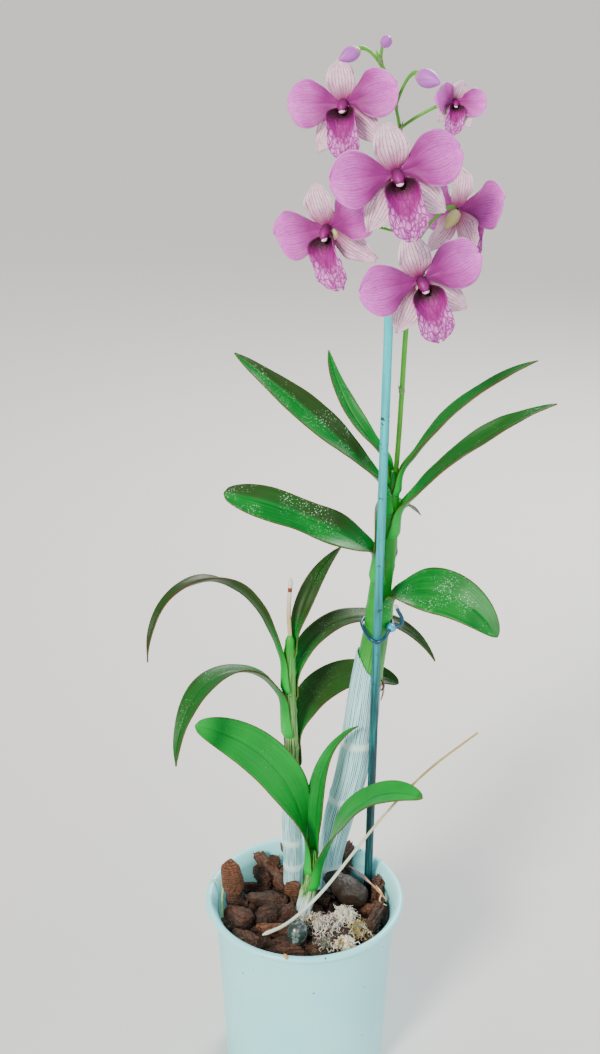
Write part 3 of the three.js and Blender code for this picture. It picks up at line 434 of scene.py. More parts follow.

# %% [markdown]
# ## The bark
#
# Orchid bark is chipped from pine: rounded, pitted lumps the size of a thumb joint, flat strips split
# along the grain, and a few fibrous slabs. Each chip is a cube with its faces cut into a grid, pulled
# towards a ball by as much as it is worn, pressed flat against a few tilted planes, which makes the
# facets of a chip, and then pushed in and out by noise. A strip's noise is stretched along its grain,
# which makes ridges and leaves the ends ragged.
#
# The large chips that show are placed one by one. Smaller ones fill in under them on a spiral that turns
# by the golden angle each step, which spreads places evenly with no rows. A core lies under all, dark
# with the painted shade low down.

# %% Pine bark
def bark_material(name, dark, middle, light, roughness, strength=1):
    """Patches of two browns, yearly layers that show as lines on a chip's sides, pits, and painted shade low
    down.
    """
    made = new_material(name, Roughness=roughness)
    patches = add(made, "TexNoise", "Object", Scale=1000 / 7, Detail=5, Roughness=0.65)
    grain = add(made, "TexNoise", "Object", Scale=1000 / 1.4, Detail=4, Roughness=0.7)
    brown = add(made, "Mix", add(made, "MapRange", patches, 0.36, 0.64), dark, middle)
    warmer = add(made, "Mix", "tone", brown, light)
    bent = add(made, "Math", patches, 5, "strata", operation="MULTIPLY_ADD")
    layer = add(made, "Math", bent, 0.7, operation="PINGPONG")
    seam = add(made, "MapRange", layer, 0, 0.3, 0.5, 1.1)
    height = add(made, "SeparateXYZ", "Object").outputs["Z"]
    # The last of these darkens the bark below 97 to 106 mm: painted shade deep in the bed, under the rim.
    shades = (add(made, "MapRange", grain, 0.3, 0.7, 0.55, 1.25), seam,
              add(made, "MapRange", height, 0.097, 0.106, 0.25, 1))
    for shade in shades:
        warmer = add(made, "Mix", 1, warmer, shade, blend_type="MULTIPLY")
    pits = add(made, "TexVoronoi", "Object", Scale=1000 / 2.2)
    relief = add(made, "Math", grain, pits, operation="ADD")
    raised = add(made, "Math", seam, relief, operation="ADD")
    return surface(made, warmer, raised, strength, 1.2)


pine_bark = bark_material("weathered pine bark", "#2a1a12", "#5f3c2c", "#8a5638", 0.7)
dark_bark = bark_material("damp heartwood chip", "#15100c", "#2c211a", "#44342a", 0.5, 0.3)


# %% One chip
def wall_inside(height):
    """The pot's inner radius at a height, less a little room, and wider again inside the rim."""
    below_bead = POT["height"] - POT["bead"]
    share = min(height, below_bead) / below_bead
    return mix(POT["foot"], POT["wall"], share) - POT["thick"] - 0.8 + 4 * ease(height, 108, 117)


def add_chip(bm, at, half, spin=0, lean=0, tilt=0, worn=0.6, rough=0.16, grain=0, tone=0, flats=9, cuts=17):
    """worn pulls the cube towards a ball, flats counts its facets, and grain makes lengthwise ridges."""
    count = len(bm.verts)
    made = bmesh.ops.create_cube(bm, size=2, calc_uvs=True)
    edges = list({edge for vert in made["verts"] for edge in vert.link_edges})
    bmesh.ops.subdivide_edges(bm, edges=edges, cuts=cuts, use_grid_fill=True)
    bm.verts.ensure_lookup_table()
    place = placed((0, 0, 0), spin=spin, lean=lean, tilt=tilt)
    seed = Vector(at) * 3.7
    strata = bm.verts.layers.float["strata"]
    dice = random.Random(int(37 * at[0] + 11 * at[1]))
    facets = [(Vector((dice.gauss(0, 1), dice.gauss(0, 1), dice.gauss(0, 1))).normalized(),
               dice.uniform(0.62, 0.95)) for _ in range(flats)]
    for vert in bm.verts[count:]:
        co = vert.co.lerp(vert.co.normalized() * 1.15, worn)
        for out, depth in facets:
            co -= out * max(0, co.dot(out) - depth) * 0.95
        big, small, fine = (noise.noise(co * scale + seed) for scale in (1.1, 3.1, 7.3))
        co *= 1 + rough * (1.1 * big + 0.5 * small + 0.35 * fine)
        if grain:
            ridge = 1 + grain * noise.noise(Vector((co.x * 0.5, co.y * 5, co.z * 5)) + seed)
            co.y, co.z = co.y * ridge, co.z * ridge
            co.x *= 1 + grain * noise.noise(Vector((0, co.y * 4, co.z * 4)) + seed) * abs(co.x)
        vert[strata] = co.z * half[2] + at[0]
        vert.co = Vector(at) + place @ Vector(c * h for c, h in zip(co, half))
        reach, room = math.hypot(vert.co.x, vert.co.y), wall_inside(vert.co.z)
        if reach > room:
            vert.co.x, vert.co.y = vert.co.x * room / reach, vert.co.y * room / reach
    keep(bm, bm.verts[count:], tone=tone)


# %% Place the chips
# x, y and z is a chip's middle, and a, b and c its half sizes. Its turns are in degrees.
LUMPS = table("""
  x   y   z    a   b   c   spin lean tilt worn rough grain tone
-39  -5 103 11.5 9.5 7.5     15    .    .    .   0.2     . 0.15
-35 -25 101   10 8.5   7    -25   -8    .    .   0.2     . 0.35
-24  14 102   13 6.5   6     -4    .    . 0.45   0.1
-20   3 100    8   6 5.5     30
-27  -4 100    4 5.5   5
 -9  -1 102  5.5   5 7.5     10    .    .    .     .     . 0.1
-18 -14 101   10   5   5      6    .    . 0.65     .   0.2 0.75
-16 -24  99    9   5   5     12    .    .    .     .     . 0.2
-12 -34  99   13   7   5     -6    .    .    .     .     . 0.5
-16 -40  98    9 4.5 4.5     -4
-31 -35  96    6   4   4    -40
 -7  19 104  5.5 3.4 6.5     -8    .  -14    .     .     . 0.6
 38   4 101    6   5   6     40    .    .    .     .     . 0.4
 30   1  99    5   5   5     10    .    .    .     .     . 0.1
  9 -31  98    6 4.5   5     20    .    .    .     .     . 0.5
  0 -38  98    6   5 4.5     60    .    .    .     .     . 0.1
 14 -42  97    7   4   4    -15    .    .    .     .     . 0.2
 26 -38  97  5.5   4 4.5     30    .    .    .     .     . 0.3
 10  20 100    7   5   5    -20    .    .    .     .     . 0.2
  2  16  99    5   5   5     35
-40  12  99  5.5   6   6     10    .    .    .     .     . 0.1
 46  10 100    4   6   5      .    .    .    .     .     . 0.3
-30  27 101   12   3 3.4     -6    .    .    .   0.1  0.35 0.2
-21  33 109   15 4.4 1.7    -46   34    .  0.3   0.1   0.2 0.35
-27  34 106   10   3 5.5    118   22    .  0.4   0.1   0.3 0.2
-19  40 109    4 2.5   8     10    8    .  0.3   0.1   0.3 0.3
-13  37 104    7   4   5    -10    .    .  0.5   0.1   0.3 0.4
 -4  43 102    8   3   5      4    .    .  0.5   0.1   0.3 0.2
 27  42 112    9 3.2  12     62   14    . 0.35   0.1  0.28 0.05
 46  20 107    9   4   9     74   18    .  0.4   0.1   0.4 0.25
 41  -7 103   15 4.6   5     60  -12    .  0.5   0.1  0.28 0.05
 12  44 102    8   3   5    -12    .    .  0.5   0.1   0.3 0.1
 47   2 100    6   4   5     80    .    .  0.5   0.1   0.3 0.1
""")
GOLDEN_ANGLE = math.pi * (3 - math.sqrt(5))
FILL = 64

bm = new_bmesh("tone", "strata")
for row in LUMPS:
    at, half = ([row.pop(key) for key in keys] for keys in ("xyz", "abc"))
    add_chip(bm, at, half, **row)
dice = random.Random(4)
for i in range(FILL):
    reach, turn = 47 * math.sqrt((i + 0.5) / FILL), i * GOLDEN_ANGLE
    size = dice.uniform(0.8, 1.25)
    add_chip(bm, (reach * math.cos(turn), reach * math.sin(turn), dice.uniform(95, 98)),
             (7 * size, 5 * size, 4.5 * size), spin=dice.uniform(0, 360), lean=dice.uniform(-30, 30),
             tilt=dice.uniform(-25, 25), cuts=5, tone=dice.uniform(0, 0.5))
finish_piece("bark_chips", bm, [pine_bark], "bark", "bark_bed", crease=50)

# %% The core under the chips
low = POT["floor"] + GAP
bm = new_bmesh("tone", "strata")
spin_outline(bm, [(0, low), (POT["foot"] - 5.5, low), (POT["foot"] - 2.6, low + 4), (wall_inside(90), 90),
                  (wall_inside(90) - 6, BARK_TOP), (0, BARK_TOP + 1)], 96)
finish_piece("bark_core", bm, [pine_bark], "bark")

# %% [markdown]
# Two chips stand clear of the bed: a long worn one on end at the left, and a smooth dark piece of
# heartwood. Each is a solid of its own, so each is a piece of its own here.

# %% The standing chip and the heartwood chip
bm = new_bmesh("tone", "strata")
add_chip(bm, (-44, 8, 124), (6.4, 4.6, 11.5), spin=28, lean=-4, worn=0.74, rough=0.12, tone=0.7, flats=2)
add_chip(bm, (-43, 8.5, 110), (4.6, 4, 8), spin=10, lean=3, rough=0.14, tone=0.1, flats=3)
finish_piece("chip_on_end", bm, [pine_bark], "dark_bark", "chip_standing", crease=50)

bm = new_bmesh("tone", "strata")
add_chip(bm, (19.5, 20, 111.5), (7.5, 5.4, 6), spin=-40, lean=4, worn=0.85, rough=0.06, flats=2)
add_chip(bm, (28, 12.5, 110), (11, 7, 6.6), spin=-40, lean=10, worn=0.7, rough=0.05, tone=0.4, flats=2)
finish_piece("heartwood_chip", bm, [dark_bark], "dark_bark", "chip_dark", crease=50)

# %% [markdown]
# ## The pebble
#
# A wet river pebble, half sunk in the bark: a ball from create_icosphere, drawn out to an egg and leant.
# It is nearly black with pale patches, partly scuffed lighter stone and partly a painted highlight, and
# its low roughness gives the small bright highlight.

# %% Wet pebble
wet_stone = made = new_material("wet river pebble", Roughness=0.22, IOR=1.5)
mottle = add(made, "TexNoise", "Object", Scale=1000 / 5, Detail=6, Roughness=0.7)
# Pale patches: partly scuffed lighter stone, partly a painted highlight.
pale = add(made, "MapRange", mottle, 0.46, 0.72)
surface(made, add(made, "Mix", pale, "#2b3733", "#a3b3ad"), mottle, 0.25, 0.5)

bm = new_bmesh()
bmesh.ops.create_icosphere(bm, subdivisions=5, radius=1, calc_uvs=True,
                           matrix=placed((-4.5, -24, 107.5), (6.2, 5.6, 8.2), 20, 14, -12))
finish_piece("river_pebble", bm, [wet_stone], "pebble", "pebble")

# %% [markdown]
# ## The moss
#
# A tuft of dried sphagnum: hundreds of pale curled threads over a darker heart, in several clumps, some
# cream, some tan, one still green, with dark gaps between. Each thread is a thin tube on a short path
# that wanders by seeded dice, which give the same tuft each time. Its colour is kept on the mesh, so one
# material serves every clump.

# %% Dried sphagnum
dry_moss = made = new_material("dried sphagnum", Roughness=0.95)
tint = add(made, "Attribute", attribute_name="tint").outputs["Color"]
mottle = add(made, "TexNoise", "Object", Scale=1000 / 2.5, Detail=3)
shade = add(made, "MapRange", mottle, 0.3, 0.7, 0.55, 1.2)
surface(made, add(made, "Mix", 1, tint, shade, blend_type="MULTIPLY"))

CREAM, PALE, TAN, GREEN, MAUVE = "#f0e8d2", "#dcd9cc", "#b3935f", "#7fa06a", "#8a6878"
CLUMPS = [  # middle, half width, height, number of threads, their thickness and their colours
    ((24, -9, 107), 6, 6.5, 110, 0.42, (CREAM, CREAM, PALE)),
    ((14, -15, 106), 8.5, 4.5, 170, 0.27, (PALE, PALE, CREAM, MAUVE)),
    ((4, -10, 106), 5, 4, 60, 0.26, (TAN, CREAM, PALE)),
    ((32, -16, 104), 6.5, 4.5, 90, 0.3, (TAN, TAN, PALE, GREEN)),
    ((24, -28, 103), 6, 4, 90, 0.48, (CREAM, CREAM, TAN)),
    ((11, -27, 102), 5, 4, 70, 0.28, (GREEN, PALE, MAUVE)),
]

bm = new_bmesh()
tints = bm.verts.layers.float_color.new("tint")
bmesh.ops.create_icosphere(bm, subdivisions=4, radius=1, calc_uvs=True,
                           matrix=placed((18, -18, 102), (14, 11.5, 4)))
for vert in bm.verts:
    vert.co += vert.normal * 1.4 * lump_noise(vert.co, 3.5)
    vert[tints] = colour("#3d2c24")
dice = random.Random(11)
for middle, wide, high, count, radius, colours in CLUMPS:
    for _ in range(count):
        reach, turn = wide * math.sqrt(dice.random()), dice.uniform(0, math.tau)
        x, y = middle[0] + reach * math.cos(turn), middle[1] + reach * math.sin(turn)
        top = middle[2] + high * (1 - (reach / wide) ** 2)
        heading, points = dice.uniform(0, math.tau), []
        for _ in range(6):
            points.append((x, y, top + dice.uniform(-1.4, 1.6)))
            heading += dice.uniform(-1.7, 1.7)
            stride = dice.uniform(0.7, 1.7)
            x, y, top = x + stride * math.cos(heading), y + stride * math.sin(heading), top - 0.3
        thick, tint_here = radius * dice.uniform(0.6, 1.2), colour(dice.choice(colours))
        lumps = dice.uniform(5, 9)

        def thread_radius(along, turn):
            return thick * (1.1 - 0.7 * along + 0.25 * math.sin(lumps * math.tau * along))

        for vert in add_tube(bm, Path(points, 6), thread_radius, 5, 16):
            vert[tints] = tint_here
finish_piece("sphagnum_tuft", bm, [dry_moss], "moss", "moss_tuft")

# %% [markdown]
# Small loose things lie about the pot: dried strands across the chips at the right, thin live roots that
# cling to the wall at the left, a seed husk on the front of the rim and a splinter at the back. Two
# strips of the tall cane's sheath have torn off at its edge and curled.

# %% Strands, thin roots, husk, splinter and torn strips
BITS = [  # points, thickness and colour
    ([(28, 27, 118), (33, 20, 119.5), (38, 15, 116.5), (43, 11, 115.5)], 0.55, MAUVE),
    ([(30, 25, 118), (36, 19, 117.5), (41, 12, 116), (48, 7, 112.5)], 0.5, "#c39a86"),
    ([(40, 14, 116), (45, 9, 113.5), (50, 3, 111)], 0.75, "#c98a5c"),
    ([(44, 12, 115), (47, 7, 113), (46, 3, 110), (50, 0, 109)], 0.5, "#e0c79a"),
    ([(-50.5, 12, 117), (-50, 8, 115), (-50.6, 2, 110), (-50, -3, 108), (-49.5, -8, 105)], 0.8, "#a9cf8c"),
    ([(-57, 12, 118.6), (-54, 12.5, 118.8), (-51, 12, 117.6), (-50.5, 9, 113)], 0.6, "#bcc79a"),
    ([(-12, -55.5, 118), (-11, -57.6, 118.6), (-10, -59, 117.4)], 1.1, "#c9a06a"),
    ([(-14, 47.5, 114), (-14.6, 48.5, 117.5), (-15, 49, 120)], 0.8, "#6a4a33"),
    ([(45.4, 33.6, 247), (46.6, 32.8, 245), (46.6, 32.4, 242), (45.4, 33.2, 240)], 0.8, "#7a5a40"),
    ([(45.6, 34.6, 244), (46.8, 33.8, 242), (46.6, 33.4, 238), (45.6, 33.8, 233)], 0.6, "#cdbba6"),
]


def bit_radius(along, turn):
    return thick * (0.5 + math.sin(math.pi * along) / 2)


bm = new_bmesh()
tints = bm.verts.layers.float_color.new("tint")
for points, thick, tint_here in BITS:
    for vert in add_tube(bm, Path(points), bit_radius, 8, 24):
        vert[tints] = colour(tint_here)
finish_piece("loose_strands", bm, [dry_moss], "moss")

# %% [markdown]
# ## The canes
#
# A cane is a stem swollen with stored water. It is a tube whose radius comes from a short list, with a
# slightly raised ring at each joint. Its colour tells its age, so three numbers are kept at every point of
# the mesh: how far the skin has dried to brown streaks, how far it has gone papery, and how spotted it is.
# The material mixes green, straw and white by them, with fine lines that run along the stem.

# %% Living stem
def stem_material(name, green, bright):
    made = new_material(name, Roughness=0.42)
    streaks = fibres(made, 5, 26, Scale=1, Detail=4, Roughness=0.65)
    clouds = add(made, "TexNoise", "Object", Scale=1000 / 14)
    sharp = add(made, "MapRange", streaks, 0.42, 0.56)
    fresh = add(made, "Mix", clouds, green, bright)
    aged = add(made, "Mix", "dry", fresh, add(made, "Mix", sharp, "#1d2910", "#9dc878"))
    skin = add(made, "Mix", "paper", aged, add(made, "Mix", sharp, "#93b8bc", "#e6f8f8"))
    dots = add(made, "TexVoronoi", "Object", Scale=1000 / 2.6)
    dot = add(made, "MapRange", dots, 0.24, 0.14)
    dark = add(made, "Math", dot, "spots", operation="MULTIPLY")
    return surface(made, add(made, "Mix", dark, skin, "#1d2a18"), streaks, 0.35, 0.4)


cane_skin = stem_material("waxy cane skin", "#007218", "#02ac22")

# Heights and the number there, from 0 to 1. joints are the heights of the raised rings.
CANE_AGE = {
    "tall": dict(dry=[(100, 1), (262, 0.15), (275, 0)], paper=[(0, 0)], spots=[(0, 0)],
                 joints=(165, 203, 247, 291, 318, 346)),
    "middle": dict(dry=[(170, 0.9), (215, 0.9), (232, 0.55), (262, 0.3), (268, 0)], paper=[(0, 0)],
                   spots=[(198, 0.2), (202, 0.9), (206, 0), (232, 0.1), (238, 1), (249, 1), (254, 0)],
                   joints=(136, 170, 201, 226, 252, 266)),
    "young": dict(dry=[(112, 0.9), (128, 0.75), (140, 0.2)], paper=[(110, 1), (114, 0.2), (118, 0)],
                  spots=[(124, 0), (127, 0.5), (130, 0)], joints=(113, 128), ribs=0.35, rib_count=9),
}
RING = 0.45  # how far a ring stands out


def along_heights(rows, height):
    return float(np.interp(height, *zip(*rows)))


for name, cane in CANES.items():
    age, path = CANE_AGE[name], cane["path"]
    rings = [path.share_at_height(joint) for joint in age["joints"]]

    def cane_radius(along, turn):
        ring = sum(hill((along - share) * path.length, 1.6) for share in rings)
        ribs = age.get("ribs", 0.06) * math.cos(age.get("rib_count", 14) * turn)
        return sample(cane["radii"], along) * (1 - 0.5 * ease(along, 0.985, 1)) + RING * ring + ribs

    bm = new_bmesh("dry", "paper", "spots")
    add_tube(bm, path, cane_radius, 56, int(path.length / 1.6))
    for key in ("dry", "paper", "spots"):
        keep(bm, bm.verts, **{key: lambda co: along_heights(age[key], co.z)})
    finish_piece(f"stem_{name}", bm, [cane_skin], "cane", f"cane_{name}", crease=60)

# %% [markdown]
# ## The dry sheaths
#
# Old leaf bases dry to a papery skin round the two older canes: white with a cool tint, ribbed along,
# with a paler band where each joint was, a slanted mouth and a torn edge. Each is an open tube set just
# off the cane.

# %% Papery sheath
RIBS_ROUND = 54  # about 1 mm apart on the cane

sheath_paper = made = new_material("papery dry sheath", Roughness=0.8)
around = add(made, "SeparateXYZ", "UV").outputs["Y"]
ribs = fibres(made, 4, 30, Scale=1, Detail=4, Roughness=0.6)
counted = add(made, "Math", around, RIBS_ROUND, ribs, operation="MULTIPLY_ADD")
ridge = add(made, "Math", counted, 0.5, operation="PINGPONG")
groove = add(made, "MapRange", ridge, 0.32, 0.08)
faint = add(made, "MapRange", ribs, 0.64, 0.46)
paper = add(made, "Mix", add(made, "Math", groove, faint, operation="MULTIPLY"), "#bef8ff", "#1e505a")
banded = add(made, "Mix", "band", paper, "#dcfafa")
surface(made, add(made, "Mix", "torn", banded, "#c9b8cc"), ridge, 0.6, 0.5)

# low and high are where a sheath starts and ends, slant how far its mouth slopes down, and towards the side.
SHEATHS = {
    "tall": dict(low=101, high=262, slant=20, towards=-10, wall=0.9, bands=(118, 165, 203)),
    "middle": dict(low=101, high=172, slant=8, towards=200, wall=0.8, bands=(118, 136)),
}
for name, sheath in SHEATHS.items():
    path, radii = CANES[name]["path"], CANES[name]["radii"]
    start, end = (path.share_at_height(sheath[key]) for key in ("low", "high"))
    bands = [path.share_at_height(band) for band in sheath["bands"]]

    def sheath_radius(along, turn):
        share = mix(start, end, along)
        bulge = sum(hill((share - band) * path.length, 2.6) for band in bands)
        crimp = 0.16 * lump_noise((9 * math.cos(turn), 9 * math.sin(turn), along * 5), 1.5)
        return sample(radii, share) + GAP + sheath["wall"] - 0.2 + 0.35 * bulge + crimp

    def mouth(along, turn):
        """How far a point of the mouth lies below the even edge."""
        lean = 0.5 + 0.5 * math.cos(turn - math.radians(sheath["towards"]))
        tear = 1.6 * lump_noise((14 * math.cos(turn), 14 * math.sin(turn), 1), 2.2)
        return (-sheath["slant"] * lean + tear) * ease(along, 0.6, 1)

    def lilac(co):
        right = ease(co.x - path.at(path.share_at_height(co.z)).x, 0, 7)
        return 0.8 * ease(co.z, 190, 235) * right if name == "tall" else 0

    bm = new_bmesh("band", "torn")
    stretch = Path([path.at(mix(start, end, i / 16)) for i in range(17)])
    add_tube(bm, stretch, sheath_radius, 64, 110, caps=False, offset_at=mouth)
    keep(bm, bm.verts, torn=lilac,
         band=lambda co: 1 - ease(min(abs(co.z - height) for height in sheath["bands"]), 1, 3.2))
    finish_piece(f"papery_sheath_{name}", bm, [sheath_paper], "dry_sheath", f"sheath_{name}", thickness=0.5)

# %% [markdown]
# ## How a blade grows
#
# Leaves, petals and lips are sheets that follow one rule. A rib runs out from the root, and its pitch
# changes from rise to fall on the way. Across each point of the rib lies a curved section with its own
# half width. A leaf also has a sheath: below its joint the rib runs straight down the cane, and the
# section wraps round it.

# %% The rib of a blade
STEPS = 120


def grow_rib(length, rise, fall, bend=1, turn=0, sheath=0, start=0, neck=0, hug=None):
    """Stations along a rib that runs out along +X with its upper face to +Z."""
    step = (sheath + length) / STEPS
    place, stations = Vector((hug(0) if hug else start, 0, 0)), []
    for i in range(STEPS + 1):
        far = i * step
        out = max(0, (far - sheath) / length)
        free = ease(far, sheath, sheath + neck) if sheath else 1
        pitch = math.radians(mix(90, rise + (fall - rise) * out**bend, free))
        swing = math.radians(turn * out)
        side = Vector((-math.sin(swing), math.cos(swing), 0))
        ahead = Vector((math.cos(swing), math.sin(swing), 0)) * math.cos(pitch)
        ahead.z = math.sin(pitch)
        here = Vector((hug(far - sheath), 0, far - sheath)) if far < sheath else place
        stations.append(dict(place=here, ahead=ahead, side=side, far=far, out=out))
        if far >= sheath:
            place = place + ahead * step
    return stations


def station_at(stations, share):
    low = min(int(share * STEPS), STEPS - 1)
    part = share * STEPS - low
    return {key: value + (stations[low + 1][key] - value) * part for key, value in stations[low].items()}


def oval(out, widest, root, tip):
    """A pointed oval: 0 at both ends and 1 at its widest place."""
    warped = out ** (math.log(0.5) / math.log(widest))
    return max(0, math.sin(math.pi * warped)) ** (root if out < widest else tip)


print(STEPS, "steps on a rib, and an oval is", round(oval(0.5, 0.5, 1, 1), 2), "wide at its widest")


# %% A sheet across the rib
def add_blade(bm, stations, rows, columns, half_at, curl_at, place_at, roll_at=None, shape_at=None, crowd=1):
    """shape_at says how far a point is lifted and pushed ahead. place_at puts it on the plant."""
    made = bmesh.ops.create_grid(bm, x_segments=rows, y_segments=columns, size=1, calc_uvs=True)
    sections = {}
    for vert in made["verts"]:
        row, across = round((vert.co.x + 1) / 2 * rows), vert.co.y
        if row not in sections:
            here = station_at(stations, (row / rows) ** crowd)
            roll = roll_at(here) if roll_at else 0
            up = here["ahead"].cross(here["side"])
            side = here["side"] * math.cos(roll) + up * math.sin(roll)
            sections[row] = here, side, here["ahead"].cross(side), half_at(here), curl_at(here)
        here, side, lift, half, curl = sections[row]
        bow = half / curl
        point = here["place"] + side * bow * math.sin(curl * across)
        point += lift * bow * (1 - math.cos(curl * across))
        if shape_at:
            up_by, ahead_by = shape_at(here, across)
            point += lift * up_by + here["ahead"] * ahead_by
        vert.co = place_at(here, point)
    return made["verts"]


def along_and_off(made):
    """How far along a sheet a point lies, from 0 to 1, and how far off its middle, from 0 to 0.5."""
    split = add(made, "SeparateXYZ", "UV")
    centred = add(made, "Math", split.outputs["Y"], -0.5, operation="ADD")
    return split.outputs["X"], add(made, "Math", centred, operation="ABSOLUTE")


# %% [markdown]
# ## The leaves
#
# Strap leaves, leathery and waxy. Their upper side is a strong green with fine lengthwise veins and a
# crease down the middle, painted darker along it as shade. The margin is a thin reddish brown line, older
# parts darken to olive, partly by tanning and partly as painted shade, the base is a fresher green, and
# tap water has left pale specks in drifts, with longer scuffs. How far a leaf darkens, how fresh and how
# specked it is differs from leaf to leaf, so these are numbers on its mesh, and one material serves all.

# %% Leaf material
VEINS_ACROSS = 22  # about 0.9 mm apart on a leaf 20 mm wide

leaf_skin = made = new_material("waxy strap leaf", Roughness=0.42, IOR=1.4, Specular_IOR_Level=0.3)
along, offside = along_and_off(made)
clouds = add(made, "TexNoise", "Object", Scale=1000 / 26, Detail=3)
green = add(made, "Mix", clouds, "#003c14", "#009e36")
veins = fibres(made, 2, VEINS_ACROSS, Scale=1.6, Detail=3)
lined = add(made, "Mix", 1, green, add(made, "MapRange", veins, 0.3, 0.7, 0.7, 1.25), blend_type="MULTIPLY")
# Darkening to olive: partly tanning with age, partly painted shade on leaves and halves of leaves that stand
# in shade.
tan_and_shade_sum = add(made, "Math", clouds, "tan", operation="ADD")
tanned_and_shaded = add(made, "Mix", add(made, "MapRange", tan_and_shade_sum, 0.7, 1.4, 0, 0.85), lined, "#26300e")
based = add(made, "Mix", "fresh", tanned_and_shaded, "#00b43c")
# A dark green line down the middle crease: painted shade.
crease_shaded = add(made, "Mix", add(made, "MapRange", offside, 0.028, 0, 0, 0.35), based, "#003f10")
edged = add(made, "Mix", add(made, "MapRange", offside, 0.474, 0.496, 0, 0.8), crease_shaded, "#5f381a")
drop = add(made, "MapRange", add(made, "TexVoronoi", "Object", Scale=1000 / 1.2), 0.3, 0.14)
drift = add(made, "MapRange", add(made, "TexNoise", "Object", Scale=1000 / 16), 0.48, 0.62)
scuff = add(made, "MapRange", fibres(made, 34, 60, Scale=1, Detail=4), 0.62, 0.72, 0, 0.45)
marks = add(made, "Math", drop, scuff, operation="MAXIMUM")
drifted = add(made, "Math", marks, drift, operation="MULTIPLY")
dusted = add(made, "Math", drifted, "dust", operation="MULTIPLY")
surface(made, add(made, "Mix", dusted, edged, "#b0e0b6"), veins, 0.3, 0.4)

# %% [markdown]
# Each leaf is a row of numbers. at is the height of its joint, aim the way it points, in degrees from +X
# towards +Y. rise and fall are the blade's pitch at the joint and at the tip, and a bend above 1 keeps
# the bending for the outer part. turn swings the aim, roll turns the blade on its rib, and cup is half
# the angle of its gutter. widest, root and tip shape its outline, and waist narrows it. The number between
# widest and dust says how far it darkens to olive, partly by tanning and partly as painted shade. dust and
# fresh say how specked and fresh green it is, side which half darkens, and burnt how brown its tip is.

# %% The leaves' sizes
LEAVES = table("""
name      at sheath long wide aim turn rise fall bend roll cup root  tip widest tan dust side burnt waist fresh
tall_1   360      8  122   20 198  -46   50   27    .  -38  36    .    .      .   1  0.8   -1
tall_2   375      4   83 10.5 160  -58   40   40    .  -12  40    .    .      . 0.2  0.3
tall_3   369      6  107   15  -8   24   63   19  1.4    .  36    .    .      . 0.5  0.1
tall_4   346      9  116   18 -14   34   56   12  1.6    8  36    .    .      . 0.6  0.4
tall_5   318     10  104   27 200  -28   35    2    .  -52  30  0.3 0.45    0.5 0.8    1   -1     .  0.28
tall_6   291      7   82   28 -24  -16   55  -46 0.85   52  20    .  0.6      . 0.2    1
tall_7   328      5   70   16 100  -70   38  -46    .   10  24    .    .      . 0.6  0.2
middle_1 252     12  157   15 190   53   76  -95  1.8   14  44    .  1.1      .   1  0.3
middle_2 226     16  126   18 200   50   86  -83 0.95    4  30    .  0.9      . 0.6  0.5
middle_3 266      4   74 11.5  43   12   84   10  1.2   24  40    .  0.9      . 0.9  0.2
middle_4 238      4  125   18  60  -84   88  -58 0.75    6  30    .    .      .   1  0.3
middle_5 200     12   92   21  66  -84   74  -30  0.9   34  22    .  0.5      . 0.8  0.2
young_1  134      6  126   27 192  -18   88    3 1.25  -58  24    .  0.5    0.6 0.1 0.12    .     .     .  0.35
young_2  142      3   89   13  66  -66   88   28  2.6   10  40    .    .      . 0.1 0.08    .     .     .   0.1
young_3  123      5  116   23 -25  -24   86    6  1.4   34  24    .  0.5      . 0.1  0.1    .     1     .  0.35
""")
THICK, NECK = 1, 14  # the wall that its clasp allows for, and the run over which it opens to a blade
CLASP, OPENED = math.radians(90), math.radians(72)  # how far it wraps round the cane, at its foot and joint
ROWS, COLUMNS, CROWD = 84, 18, 1.25  # its grid, whose rows crowd towards the root
print(len(LEAVES), "leaves")


